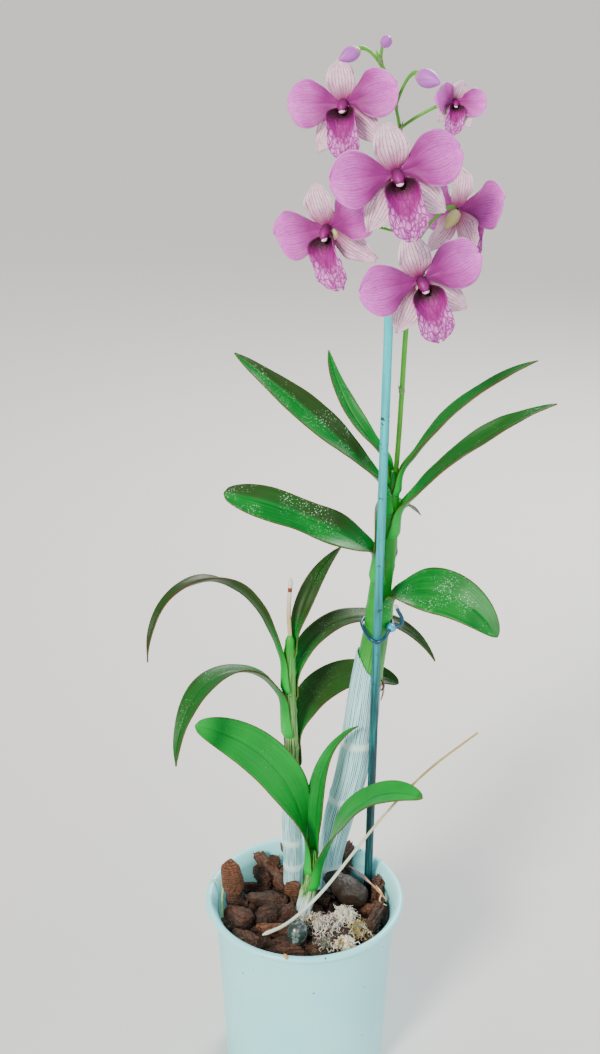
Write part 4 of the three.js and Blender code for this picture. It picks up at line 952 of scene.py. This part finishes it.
# %% Grow the leaves
def grow_leaf(name, at, sheath, long, wide, aim, turn, rise, fall, cup, tan, dust, bend=1, roll=0,
              root=0.45, tip=0.75, widest=0.46, side=0, burnt=0, waist=0, fresh=0):
    cane = CANES[name.split("_")[0]]
    path, radii = cane["path"], cane["radii"]
    joint = path.share_at_height(at)
    room = GAP / math.cos(CLASP / 4) + THICK / 2
    across = (math.cos(math.radians(aim)), math.sin(math.radians(aim)), 0)
    wave = 7 * at  # a different ripple on each leaf

    def hug(height):
        grown = ease(height, -sheath, 3 - sheath)  # its lowest 3 mm run into the cane that it grows from
        return sample(radii, joint + height / path.length) / math.cos(CLASP / 4) + mix(-0.3, room, grown)

    def wrap_angle(here):
        return mix(CLASP, OPENED, min(1, here["far"] / sheath))

    def half_at(here):
        out = min(max(here["out"], 0.02), 1)
        blade = wide / 2 * oval(out, widest, root, tip) * (1 - waist * hill(out - 0.55, 0.2))
        wrap = wrap_angle(here) * hug(min(0, here["far"] - sheath))
        return max(0.35, mix(wrap, blade, ease(here["far"], sheath, sheath + 1.5 * NECK)))

    def curl_at(here):
        return mix(wrap_angle(here), math.radians(cup), ease(here["far"], sheath, sheath + 1.8 * NECK))

    def shape_at(here, across):
        free = ease(here["out"], 0.03, 0.2) * (1 - ease(here["out"], 0.85, 1))
        ripple = 0.5 * across**2 * math.sin(here["far"] / 9 + wave + 1.5 * across)
        swell = 0.5 * lump_noise((here["far"], 9 * across, wave), 13)
        return free * (ripple + swell - 0.55 * hill(across, 0.09)), 0

    def place_at(here, point):
        below = point.z if here["far"] < sheath else 0
        seat, first, second, ahead = path.frame(joint + below / path.length, across)
        return seat + first * point.x + second * point.y + ahead * (point.z - below)

    bm = new_bmesh("tan", "dust", "fresh")
    tan_and_shade_layers, freshes = (bm.verts.layers.float[key] for key in ("tan", "fresh"))
    stations = grow_rib(long, rise, fall, bend, turn, sheath, 0, NECK, hug)
    verts = add_blade(bm, stations, ROWS, COLUMNS, half_at, curl_at, place_at, crowd=CROWD,
                      roll_at=lambda here: math.radians(roll) * ease(here["out"], 0, 0.5), shape_at=shape_at)
    keep(bm, verts, dust=dust)
    for i, vert in enumerate(verts):
        out, across_here = i % (ROWS + 1) / ROWS, i // (ROWS + 1) / (COLUMNS / 2) - 1
        # How far each point darkens to olive, partly tanning and partly painted shade: the outer part, and one
        # half if side is set.
        half_tan_and_shade = ease(across_here * side, -0.1, 0.35) if side else 1
        vert[tan_and_shade_layers] = tan * ease(out, 0.1, 0.5) * half_tan_and_shade + burnt * 2 * ease(out, 0.965, 1)
        vert[freshes] = 0.9 - (0.9 - fresh) * ease(out, 0.08, 0.32)
    finish_piece(f"strap_leaf_{name}", bm, [leaf_skin], "leaf", f"leaf_{name}", thickness=0.7)


for leaf in LEAVES:
    grow_leaf(**leaf)

# %% [markdown]
# ## The stake and its tie
#
# A split-cane stake, painted: pale blue high up and deep teal lower down, with scuffs that show the dark
# wood. The tie is a plastic-covered wire with a bead that slides on it. It loops round the cane and the
# stake, and its free end curls up.

# %% Painted stake
stake_paint = made = new_material("weathered painted cane", Roughness=0.55)
# Deep teal low down, changing to pale blue higher up.
height = add(made, "MapRange", add(made, "SeparateXYZ", "Object").outputs["Z"], 0.2, 0.46)
grain = fibres(made, 14, 9, Scale=1, Detail=4)
worn = add(made, "Math", grain, -0.5, operation="ADD")
uneven = add(made, "Math", worn, height, operation="ADD")
paint = add(made, "Mix", uneven, "#00343a", "#34ccd2")
scrapes = add(made, "TexNoise", "Object", Scale=1000 / 3.5, Detail=5, Roughness=0.7)
threshold = add(made, "Math", scrapes, "scraped", operation="ADD")
bare = add(made, "MapRange", threshold, 0.68, 0.76)
surface(made, add(made, "Mix", bare, paint, "#20363a"), grain, 0.3, 0.3)

# Heights, and how scraped the paint is there.
SCRAPES = [(40, 0.06), (386, 0.07), (394, 0.17), (402, 0.08), (412, 0.22), (418, 0.04)]
foot, head = Vector(STAKE["foot"]), Vector(STAKE["top"])
stands = head.z - foot.z


def stake_radius(along, turn):
    flat = 0.16 * math.cos(2 * turn + 0.6) + 0.1 * lump_noise((along * stands, 3 * math.cos(turn), 3), 22)
    return STAKE["radius"] - 0.15 + flat - 0.9 * ease(along, 0.997, 1)


bm = new_bmesh("scraped")
add_tube(bm, Path([foot.lerp(head, i / 4) for i in range(5)]), stake_radius, 32, 240)
keep(bm, bm.verts, scraped=lambda co: along_heights(SCRAPES, co.z))
finish_piece("painted_stake", bm, [stake_paint], "painted_stake", "stake")

# %% Plastic-covered wire and its bead
tie_plastic = made = new_material("flexible PVC", Roughness=0.33, IOR=1.53)
teal = add(made, "Mix", add(made, "TexNoise", "Object", Scale=1000 / 3, Detail=3), "#002c40", "#00506e")
surface(made, add(made, "Mix", "bare", teal, "#d9cfc0"))
bead_plastic = made = new_material("polished acrylic bead", Roughness=0.2, IOR=1.49)
surface(made, add(made, "Mix", add(made, "TexNoise", "Object", Scale=1000 / 4), "#1391c4", "#4cc4ea"))

# dip is how much lower the loop passes round the stake, and wire is the radius. The tail runs from the knot.
TIE = dict(height=281, dip=3.5, wire=1.1, slack=0.5, knot_turn=-40)
TAIL = [(-1.6, 0.4, -3), (0, 0, 0), (3, -0.6, 0.8), (6, -1, 3), (6.2, -1, 6.6), (4, -0.6, 11),
        (2.2, -0.4, 15)]
tall = CANES["tall"]
share = tall["path"].share_at_height(TIE["height"])
cane_ring = tall["path"].at(share), sample(tall["radii"], share)
stake_ring = foot.lerp(head, (TIE["height"] - foot.z) / stands), STAKE["radius"]


def around(centre, radius, degrees, out, lift):
    """A point of the loop beside a round stem, pushed out and lifted a little."""
    far, turn = radius + TIE["slack"] + TIE["wire"] + out, math.radians(degrees)
    return Vector((centre.x + far * math.cos(turn), centre.y + far * math.sin(turn), TIE["height"] + lift))


knot = around(*cane_ring, TIE["knot_turn"], 1.2, 0)
stake_turns = [(-50, 0.6, -0.7 * TIE["dip"]), (-90, 0, -TIE["dip"]), (215, 0.6, -0.7 * TIE["dip"])]
cane_turns = [(205, 0.6, 0), (170, 0, 0.4), (130, 0, 0.6), (90, 0, 0.6), (50, 0, 0.6), (10, 0, 0.4),
              (-22, 0.4, 0.2)]
loop = [knot, *(around(*stake_ring, *p) for p in stake_turns), *(around(*cane_ring, *p) for p in cane_turns),
        knot]
tail = Path([knot + Vector(step) for step in TAIL])
end = tail.at(1)

bm = new_bmesh("bare")
add_tube(bm, Path(loop), lambda along, turn: TIE["wire"], 16, 150)
tail_verts = add_tube(bm, tail, lambda along, turn: TIE["wire"] * (1 - 0.3 * ease(along, 0.96, 1)), 16, 60)
keep(bm, tail_verts, bare=lambda co: 1 - ease((co - end).length, 1.5, 2.6))
finish_piece("covered_wire_tie", bm, [tie_plastic], "tie_wire", "tie_wire")

bm = new_bmesh()
bmesh.ops.create_uvsphere(bm, u_segments=32, v_segments=20, radius=1, calc_uvs=True,
                          matrix=placed(knot, (3.2, 2.6, 2.6), -35))
finish_piece("sliding_bead", bm, [bead_plastic], "tie_bead", "tie_bead")

# %% [markdown]
# ## The cut stalk and the aerial root
#
# An old flower stalk was cut off above the middle cane and has dried pale, with a brown band near its
# tip. The aerial root is as thick as a pencil lead: chalky greenish white where it lies on the bark, and
# light brown towards its far end. Both are tubes with a slight wobble.

# %% Dry stalk and root
def cord_material(name, low, high, ring):
    """A dry skin that goes from one colour to another along its length, with a ring of a third."""
    made = new_material(name, Roughness=0.85)
    along = add(made, "SeparateXYZ", "UV").outputs["X"]
    rough = add(made, "TexNoise", "Object", Scale=1000 / 2.5, Detail=4)
    skin = add(made, "Mix", add(made, "MapRange", along, 0.35, 0.75), low, high)
    shade = add(made, "MapRange", rough, 0, 1, 0.72, 1.2)
    mottled = add(made, "Mix", 1, skin, shade, blend_type="MULTIPLY")
    at_ring = add(made, "Math", along, 0.8, 0.035, operation="COMPARE")
    return surface(made, add(made, "Mix", at_ring, mottled, ring), rough, 0.4, 0.3)


dry_stalk = cord_material("dried flower stalk", "#cfb98a", "#e6dccb", "#7c3c1e")
root_skin = cord_material("chalky root velamen", "#d9e6d2", "#b39a63", "#a08a55")

STALK = dict(axis=[(-8.6, 35, 274), (-9.4, 37, 290), (-8, 38, 312)], radius=1.25)
ROOT = dict(axis=[(-25, -26, 108), (-12, -19, 109.5), (0, -10, 114), (12, -6, 126), (28, -4, 149),
                  (48, 0, 176), (72, 5, 202), (101, 10, 225)],
            thick=1.7, thin=0.9, slim=0.66)  # slim is its share of the solid's thickness
root_path = Path(ROOT["axis"])


def stalk_radius(along, turn):
    return STALK["radius"] * (1 - 0.7 * ease(along, 0.93, 1))


def root_radius(along, turn):
    wobble = 0.16 * lump_noise((along * root_path.length, math.cos(turn), math.sin(turn)), 7)
    thick = ROOT["slim"] * (mix(ROOT["thick"], ROOT["thin"], along) + wobble)
    return thick * (0.45 + 0.55 * ease(along, 0, 0.015))


bm = new_bmesh()
add_tube(bm, Path(STALK["axis"]), stalk_radius, 16, 40)
finish_piece("dried_flower_stalk", bm, [dry_stalk], "dry_stalk", "cut_stalk")

bm = new_bmesh()
add_tube(bm, root_path, root_radius, 20, 200, across=(0, 1, 0))
finish_piece("long_aerial_root", bm, [root_skin], "root", "aerial_root")

# %% [markdown]
# ## The flower spike
#
# The spike leaves the top of the tall cane, climbs beside the stake and arches over at its end. Each
# bloom and bud hangs on a short stalk of its own that bows up from the spike, and under each stalk sits
# a papery bract. Spike and stalks are tubes that overlap at the joints. They share the canes' kind of skin.

# %% Places of the blooms and buds
SPIKE = dict(axis=[(51, 42.4, 371), (52.5, 43, 400), (54, 42.5, 445), (55, 39, 484), (53.5, 33, 522),
                   (49, 27, 557), (42, 21, 586), (34, 15, 604)], thick=1.5, thin=0.8, bare_joint=423)
# A bloom's stalk bows up from the spike. Behind the bloom's middle it runs straight, from straight to core,
# and it comes in entry above it. The spike's bare joint has a bract but no flower.
PEDICEL = dict(radius=1, straight=12, core=3.6, bow=3, entry=1.2)
# Each has its middle x, y and z, its size, and the height of its joint on the spike. A bloom's turns are in
# degrees, and a bud points along a, b and c.
BLOOMS = table("""
name  x  y   z yaw pitch roll size joint
a    44 -6 549   2     4   14    1   538
b    12 22 517 -32    -4   22 0.96   510
c    58  2 495   8    -2   18 0.98   484
d    19 17 579 -16     8   10 0.86   556
e    80 44 522 128   -14  -10  0.9   500
f    73 16 580  12     6  -12  0.5   566
""")
BUDS = table("""
name  x  y   z   a   b  c size joint
1    58  8 592   8 -10 -2    1   577
2    22 10 603 -10  -7 -4  0.8   592
3    38  3 609   2 -10  4 0.62   599
""")
BUD = dict(length=17, radius=4.6, straight=0.7, core=0.38)  # the last two are shares of its length


def bloom_place(x, y, z, yaw, pitch, roll, size, **others):
    """A bloom faces its own +Z, with +Y up."""
    turn, lift = math.radians(yaw), math.radians(pitch)
    facing = Vector((math.sin(turn) * math.cos(lift), -math.cos(turn) * math.cos(lift), math.sin(lift)))
    side = Vector((math.cos(turn), math.sin(turn), 0))
    basis = Matrix((side, facing.cross(side), facing)).transposed().to_4x4()
    return Matrix.Translation((x, y, z)) @ basis @ placed((0, 0, 0), (size, size, size), roll)


def bud_place(x, y, z, a, b, c, size, **others):
    turn = Vector((0, 0, 1)).rotation_difference(Vector((a, b, c))).to_matrix().to_4x4()
    return Matrix.Translation((x, y, z)) @ turn @ Matrix.Scale(size, 4)


for bloom in BLOOMS:
    bloom["place"] = bloom_place(**bloom)
for bud in BUDS:
    bud["place"] = bud_place(**bud)
print(len(BLOOMS), "blooms and", len(BUDS), "buds")

# %% Spike, stalks and bracts
spike_skin = stem_material("fresh spike skin", "#2c9416", "#6cc434")
spike_path = Path(SPIKE["axis"])
stems = [(bloom["joint"], bloom["place"], PEDICEL["straight"], PEDICEL["core"]) for bloom in BLOOMS]
stems += [(bud["joint"], bud["place"], BUD["straight"] * BUD["length"], BUD["core"] * BUD["length"])
          for bud in BUDS]
joints = [(SPIKE["bare_joint"], Matrix.Translation((0, 0, SPIKE["bare_joint"])))]
joints += [(joint, place) for joint, place, *_ in stems]
shares = [spike_path.share_at_height(joint) for joint, _ in joints]


def spike_width(share):
    return mix(SPIKE["thick"], SPIKE["thin"], ease(share, 0.3, 1))


def spike_radius(along, turn):
    ring = sum(hill((along - share) * spike_path.length, 1.2) for share in shares)
    return (spike_width(along) - 0.05 + 0.3 * ring) * (1 - 0.7 * ease(along, 0.99, 1))


def pedicel_radius(along, turn):
    return PEDICEL["radius"] * (0.82 + 0.3 * ease(along, 0.6, 1))


bm = new_bmesh("dry", "paper", "spots")
add_tube(bm, spike_path, spike_radius, 18, 260)
keep(bm, bm.verts, dry=lambda co: 0.5 if min(abs(co.z - joint) for joint, _ in joints) < 1.3 else 0)
for joint, place, far, near in stems:
    root = spike_path.at(spike_path.share_at_height(joint))
    behind, end = (place @ Vector((0, PEDICEL["entry"], -back)) for back in (far, near))
    bow = (root + behind) / 2 + Vector((0, 0, PEDICEL["bow"]))
    curve = [root * (1 - t) ** 3 + bow * 3 * t * (1 - t) ** 2 + behind * 3 * t * t * (1 - t) + end * t**3
             for t in (i / 12 for i in range(13))]
    add_tube(bm, Path(curve, 6), pedicel_radius, 14, 48)
finish_piece("flower_stalks", bm, [spike_skin], "spike", "flower_spike")

BRACT = dict(length=5.5, rise=88, fall=62, wide=1.9, off=0.15, sunk=1.5)
bm = new_bmesh("dry", "paper", "spots")
for share, (joint, place) in zip(shares, joints):
    seat, first, second, ahead = spike_path.frame(share, place.translation - spike_path.at(share))
    stations = grow_rib(BRACT["length"], BRACT["rise"], BRACT["fall"], start=spike_width(share) + BRACT["off"])
    add_blade(bm, stations, 12, 10,
              lambda here: max(0.15, BRACT["wide"] * oval(here["out"] * 0.97 + 0.02, 0.3, 0.5, 1)),
              lambda here: math.radians(mix(95, 40, here["out"])),
              lambda here, p: seat + first * p.x + second * p.y + ahead * (p.z - BRACT["sunk"]))
keep(bm, bm.verts, dry=0.9)
finish_piece("papery_bracts", bm, [spike_skin], "spike", thickness=0.25)

# %% [markdown]
# ## The blooms
#
# A bloom has a sepal at the top, two broad petals at the sides, two sepals behind and below, and the lip.
# In the middle stands the column with its white anther cap, and behind it a greenish blunt spur. All
# five sheets grow by the blade rule. The veins follow the UV map, so they fan out from the root by
# themselves, and a Voronoi pattern's cell edges, stretched along the sheet, make them branch and meet.

# %% Petal and sepal materials
def veined(made, cells, width, strength, ray_count=0):
    """A fine net of bent cell edges on the UV map, and rays from the root if there are any."""
    warp = add(made, "TexNoise", "UV", Scale=7)
    moved = add(made, "VectorMath", warp.outputs["Color"], (0.05, 0.05, 0), operation="MULTIPLY")
    bent = add(made, "VectorMath", "UV", moved, operation="ADD")
    stretched = add(made, "Mapping", bent, Scale=cells)
    net = add(made, "TexVoronoi", stretched, Scale=1, feature="DISTANCE_TO_EDGE")
    if not ray_count:
        return add(made, "MapRange", net, width, 0, 0, strength)
    netted = add(made, "MapRange", net, width, 0, 0, 0.6 * strength)
    sideways = add(made, "SeparateXYZ", bent).outputs["Y"]
    counted = add(made, "Math", sideways, ray_count, 0.5, operation="MULTIPLY_ADD")
    off_ray = add(made, "Math", counted, 0.5, operation="PINGPONG")
    rayed = add(made, "MapRange", off_ray, 0.16, 0.03, 0, strength)
    return add(made, "Math", netted, rayed, operation="MAXIMUM")


def tepal_material(name, ground, pale, flush_and_shade, reach, vein, cells, width, strength, ray_count):
    """A pale ground, deep magenta from the root within reach, partly the flower's own colour and partly
    painted shade at the bloom's heart, netted with veins and pale at its margin.
    """
    made = new_material(name, Roughness=0.6, Sheen_Weight=0.25)
    along, offside = along_and_off(made)
    base = add(made, "Mix", add(made, "TexNoise", "Object", Scale=1000 / 5, Detail=3), ground, pale)
    fan = fibres(made, 1.4, 17, Scale=1, Detail=3)
    uneven = add(made, "Math", fan, -0.45, along, operation="MULTIPLY_ADD")
    flushed_and_shaded = add(made, "Mix", add(made, "MapRange", uneven, *reach), base, flush_and_shade)
    lined = add(made, "Mix", veined(made, cells, width, strength, ray_count), flushed_and_shaded, vein)
    margin = add(made, "MapRange", offside, 0.485, 0.5, 0, 0.35)
    rim = add(made, "Math", margin, add(made, "MapRange", along, 0.25, 0.45), operation="MULTIPLY")
    return surface(made, add(made, "Mix", rim, lined, "#f6e3f6"), fan, 0.25, 0.4)


# The deep magenta at the root is partly the flower's own colour and partly painted shade at the bloom's heart.
petal_skin = tepal_material("velvety petal", "#ea3cdc", "#fc8cf4", "#8c0072", (0.74, 0.08), "#8a1090",
                            (7, 15, 1), 0.09, 0.62, 19)
sepal_skin = tepal_material("waxy sepal", "#e4bad2", "#f8deec", "#94106c", (0.34, -0.15), "#96246f",
                            (6, 9, 1), 0.06, 0.85, 9)

# %% Lip, column, cap, spur and bud materials
lip_skin = made = new_material("velvety lip", Roughness=0.6)
along, offside = along_and_off(made)
fan = fibres(made, 2.5, 13, Scale=1, Detail=3)
sideways = add(made, "Math", offside, 0.7, along, operation="MULTIPLY_ADD")
uneven = add(made, "Math", fan, -0.35, sideways, operation="MULTIPLY_ADD")
tongue = add(made, "Mix", add(made, "MapRange", uneven, 0.68, 0.47), "#e486dc", "#98007c")
net = veined(made, (9, 11, 1), 0.17, 1)
lined = add(made, "Mix", net, tongue, "#8a0078")
# The throat is painted almost black: a painted shadow under the column and its cap.
throat = add(made, "MapRange", along, 0.36, 0.2)
surface(made, add(made, "Mix", throat, lined, "#3c0026"), net, 0.4, 0.5)


def soft_material(name, root, tip, low, high, roughness=0.5, mottle=2):
    """Goes from one colour to another along U, with a fine mottle."""
    made = new_material(name, Roughness=roughness)
    mottled = add(made, "TexNoise", "Object", Scale=1000 / mottle, Detail=3)
    along = add(made, "SeparateXYZ", "UV").outputs["X"]
    uneven = add(made, "Math", mottled, 0.25, along, operation="MULTIPLY_ADD")
    return surface(made, add(made, "Mix", add(made, "MapRange", uneven, low, high), root, tip))


# The column darkens to near black towards its root: partly its own magenta, partly painted shade deep in the
# bloom.
column_skin = soft_material("waxy column", "#440036", "#86046e", 0.3, 0.9)
cap_skin = soft_material("anther cap", "#e8d3e0", "#fbf3f0", 0.2, 0.8, roughness=0.4)
spur_skin = soft_material("waxy greenish spur", "#c9c873", "#d7d59a", 0.2, 0.9, mottle=4)
bud_skin = soft_material("closed bud", "#aeb268", "#b75cc6", 0.2, 0.5)

# %% [markdown]
# The blooms are numbers again: where each stands, the way it faces, and its size. A bloom smaller than
# 0.8 is still opening, so its sheets stand forward. Their ripples come from seeded noise, so no two
# blooms are the same.

# %% Tepals, column and spur
# skin is 0 for a petal and 1 for a sepal, back how far behind the bloom's face it starts, and angle the way
# it points, in degrees from the top.
TEPALS = table("""
skin long wide rise fall cup widest root tip back angle
   1 23.5 17.5   16  -14  14    0.5 0.58 0.6    1     0
   0   32   28   14   -4  14   0.62  0.8 0.5    0    82
   1   30   16    2  -10  16    0.5  0.7 0.8    1   141
   0   32   28   14   -4  14   0.62  0.8 0.5    0   -82
   1   30   16    2  -10  16    0.5  0.7 0.8    1  -141
""")
OPENING = dict(below=0.8, shut=110)  # degrees that a sheet stands forward, for each 1 of size below 0.8
# A stub is a short round body on an axis that leans towards the lip. Its radii are shares of radius.
COLUMN = dict(low=-1, high=9, radius=3.1, lean=34, seat=(0, 1, 1.5),
              radii=(0.5, 0.85, 0.9, 0.95, 1, 0.9, 0.75, 0.4))
CHIN = dict(low=-13, high=1, radius=3.8, lean=-48, seat=(0, -1.6, 0),
            radii=(0.12, 0.42, 0.55, 0.68, 0.8, 0.9, 1, 1, 1, 0.8, 0.3))
CAP = dict(at=(0, -0.9, 8.1), size=(1.9, 1.3, 1.5))


def painted_with(verts, index):
    for face in {face for vert in verts for face in vert.link_faces}:
        face.material_index = int(index)


def grow_tepal(bm, place, size, phase, skin, long, wide, rise, fall, cup, widest, root, tip, back, angle):
    shut = max(0, OPENING["below"] - size) * OPENING["shut"]
    turned = place @ placed((0, 0, -back), spin=90 - angle)

    def half_at(here):
        return max(1, wide / 2 * oval(min(max(here["out"], 0.06), 0.992), widest, root, tip))

    def shape_at(here, across):
        wave = 0.05 * wide * across**2 * math.sin(9 * here["out"] + 2 * across)
        ripple = 0.7 * across**2 * math.sin(17 * here["out"] + phase + 4 * across)
        swell = 0.8 * lump_noise((here["far"], wide / 2 * across, phase), 9)
        lifted = wave + ease(here["out"], 0.05, 0.25) * (ripple + swell - 0.35 * hill(across, 0.1))
        return lifted, -0.9 * hill(across, 0.16) * ease(here["out"], 0.9, 1)

    stations = grow_rib(long, rise + shut, fall + shut, start=1.2)
    verts = add_blade(bm, stations, 34, 22, half_at, lambda here: math.radians(cup),
                      lambda here, point: turned @ point, shape_at=shape_at)
    painted_with(verts, skin)


def add_stub(bm, place, size, low, high, radius, lean, seat, radii):
    where = place @ placed(seat, tilt=lean)
    path = Path([where @ Vector((0, 0, mix(low, high, i / 3))) for i in range(4)])
    return add_tube(bm, path, lambda along, turn: size * radius * sample(radii, along), 28, 30)


for bloom in BLOOMS:
    name, place, size = bloom["name"], bloom["place"], bloom["size"]
    bm = new_bmesh()
    for i, tepal in enumerate(TEPALS):
        grow_tepal(bm, place, size, 5 * i + 13 * bloom["x"], **tepal)
    finish_piece(f"orchid_bloom_{name}", bm, [petal_skin, sepal_skin], "petal", f"bloom_{name}", thickness=0.6)

    bm = new_bmesh()
    add_stub(bm, place, size, **COLUMN)
    cap = place @ placed(COLUMN["seat"], tilt=COLUMN["lean"]) @ placed(**CAP)
    made = bmesh.ops.create_uvsphere(bm, u_segments=24, v_segments=14, radius=1, matrix=cap, calc_uvs=True)
    painted_with(made["verts"], 1)
    painted_with(add_stub(bm, place, size, **CHIN), 2)
    finish_piece(f"bloom_centre_{name}", bm, [column_skin, cap_skin, spur_skin], "petal", crease=60)

# %% [markdown]
# ## The lips
#
# The lip curls up round the column at its root and spreads in front as a notched, crinkled apron. It is
# the darkest part of the bloom: almost black in its throat, where the shadow under the column is painted
# in, deep magenta along its middle, and netted with magenta veins on a pale ground towards the edge.

# %% Lips
# root and throat are half the tube's width, waist and lobe half the apron's, and the last three are half the
# angle of the curl: at the root, in the throat and on the apron.
LIP = dict(length=31, rise=62, fall=-26, seat=(0, -2.6, 1), start=2, root=4.4, throat=12, waist=9.4, lobe=9.4,
           notch=1.3, wave=0.8, curled=112, flared=80, spread=20)


def lip_half(here):
    out = here["out"]
    tube = mix(LIP["root"], LIP["throat"], ease(out, 0, 0.25))
    rounded = math.sqrt(1 - min(0.94, max(0, (out - 0.7) / 0.31) ** 2))
    apron = mix(LIP["waist"], LIP["lobe"], ease(out, 0.5, 0.75)) * rounded
    return mix(tube, apron, ease(out, 0.3, 0.5))


def lip_curl(here):
    flared = mix(LIP["curled"], LIP["flared"], ease(here["out"], 0.08, 0.3))
    return math.radians(mix(flared, LIP["spread"], ease(here["out"], 0.3, 0.62)))


for bloom in BLOOMS:
    name, phase, place = bloom["name"], bloom["x"], bloom["place"] @ placed(LIP["seat"], spin=-90)

    def lip_shape(here, across):
        out = here["out"]
        wave = LIP["wave"] * across**2 * ease(out, 0.5, 0.8) * math.sin(17 * out + 3 * across)
        crinkle = 0.5 * ease(out, 0.45, 0.7) * lump_noise((here["far"], 9 * across, phase), 2.4)
        keeled = 0.5 * ease(out, 0.3, 0.5) * (1 - ease(out, 0.7, 0.9)) if abs(across) < 0.5 else 0
        notch = -LIP["notch"] * math.cos(2 * math.pi * across) * ease(out, 0.8, 1)
        scallop = 0.35 * math.sin(15 * across + phase) * ease(out, 0.92, 1)
        return wave + crinkle + keeled * math.cos(9 * across), notch + scallop

    bm = new_bmesh()
    stations = grow_rib(LIP["length"], LIP["rise"], LIP["fall"], start=LIP["start"])
    add_blade(bm, stations, 56, 40, lip_half, lip_curl, lambda here, point: place @ point, shape_at=lip_shape)
    finish_piece(f"orchid_lip_{name}", bm, [lip_skin], "lip", f"lip_{name}", thickness=0.55)

# %% [markdown]
# ## The buds
#
# A closed bud is an egg, fuller behind, wrapped in three sepals whose edges show as shallow seams. It is
# greenish at its root and mauve at its tip.

# %% Buds
for bud in BUDS:
    name, radius = bud["name"], BUD["radius"] * bud["size"]
    path = Path([bud["place"] @ Vector((0, 0, BUD["length"] * (i / 8 - 0.4))) for i in range(9)])

    def bud_radius(along, turn):
        seam = abs(math.sin(1.5 * turn + 2 * along))
        swollen = math.sin(math.pi * along**0.8) ** 0.8 if 0 < along < 1 else 0
        return radius * swollen * (1 - 0.09 * hill(seam, 0.22))

    bm = new_bmesh()
    add_tube(bm, path, bud_radius, 48, 48, across=(0, 1, 0))
    finish_piece(f"orchid_bud_{name}", bm, [bud_skin], "petal", f"bud_{name}", crease=70)
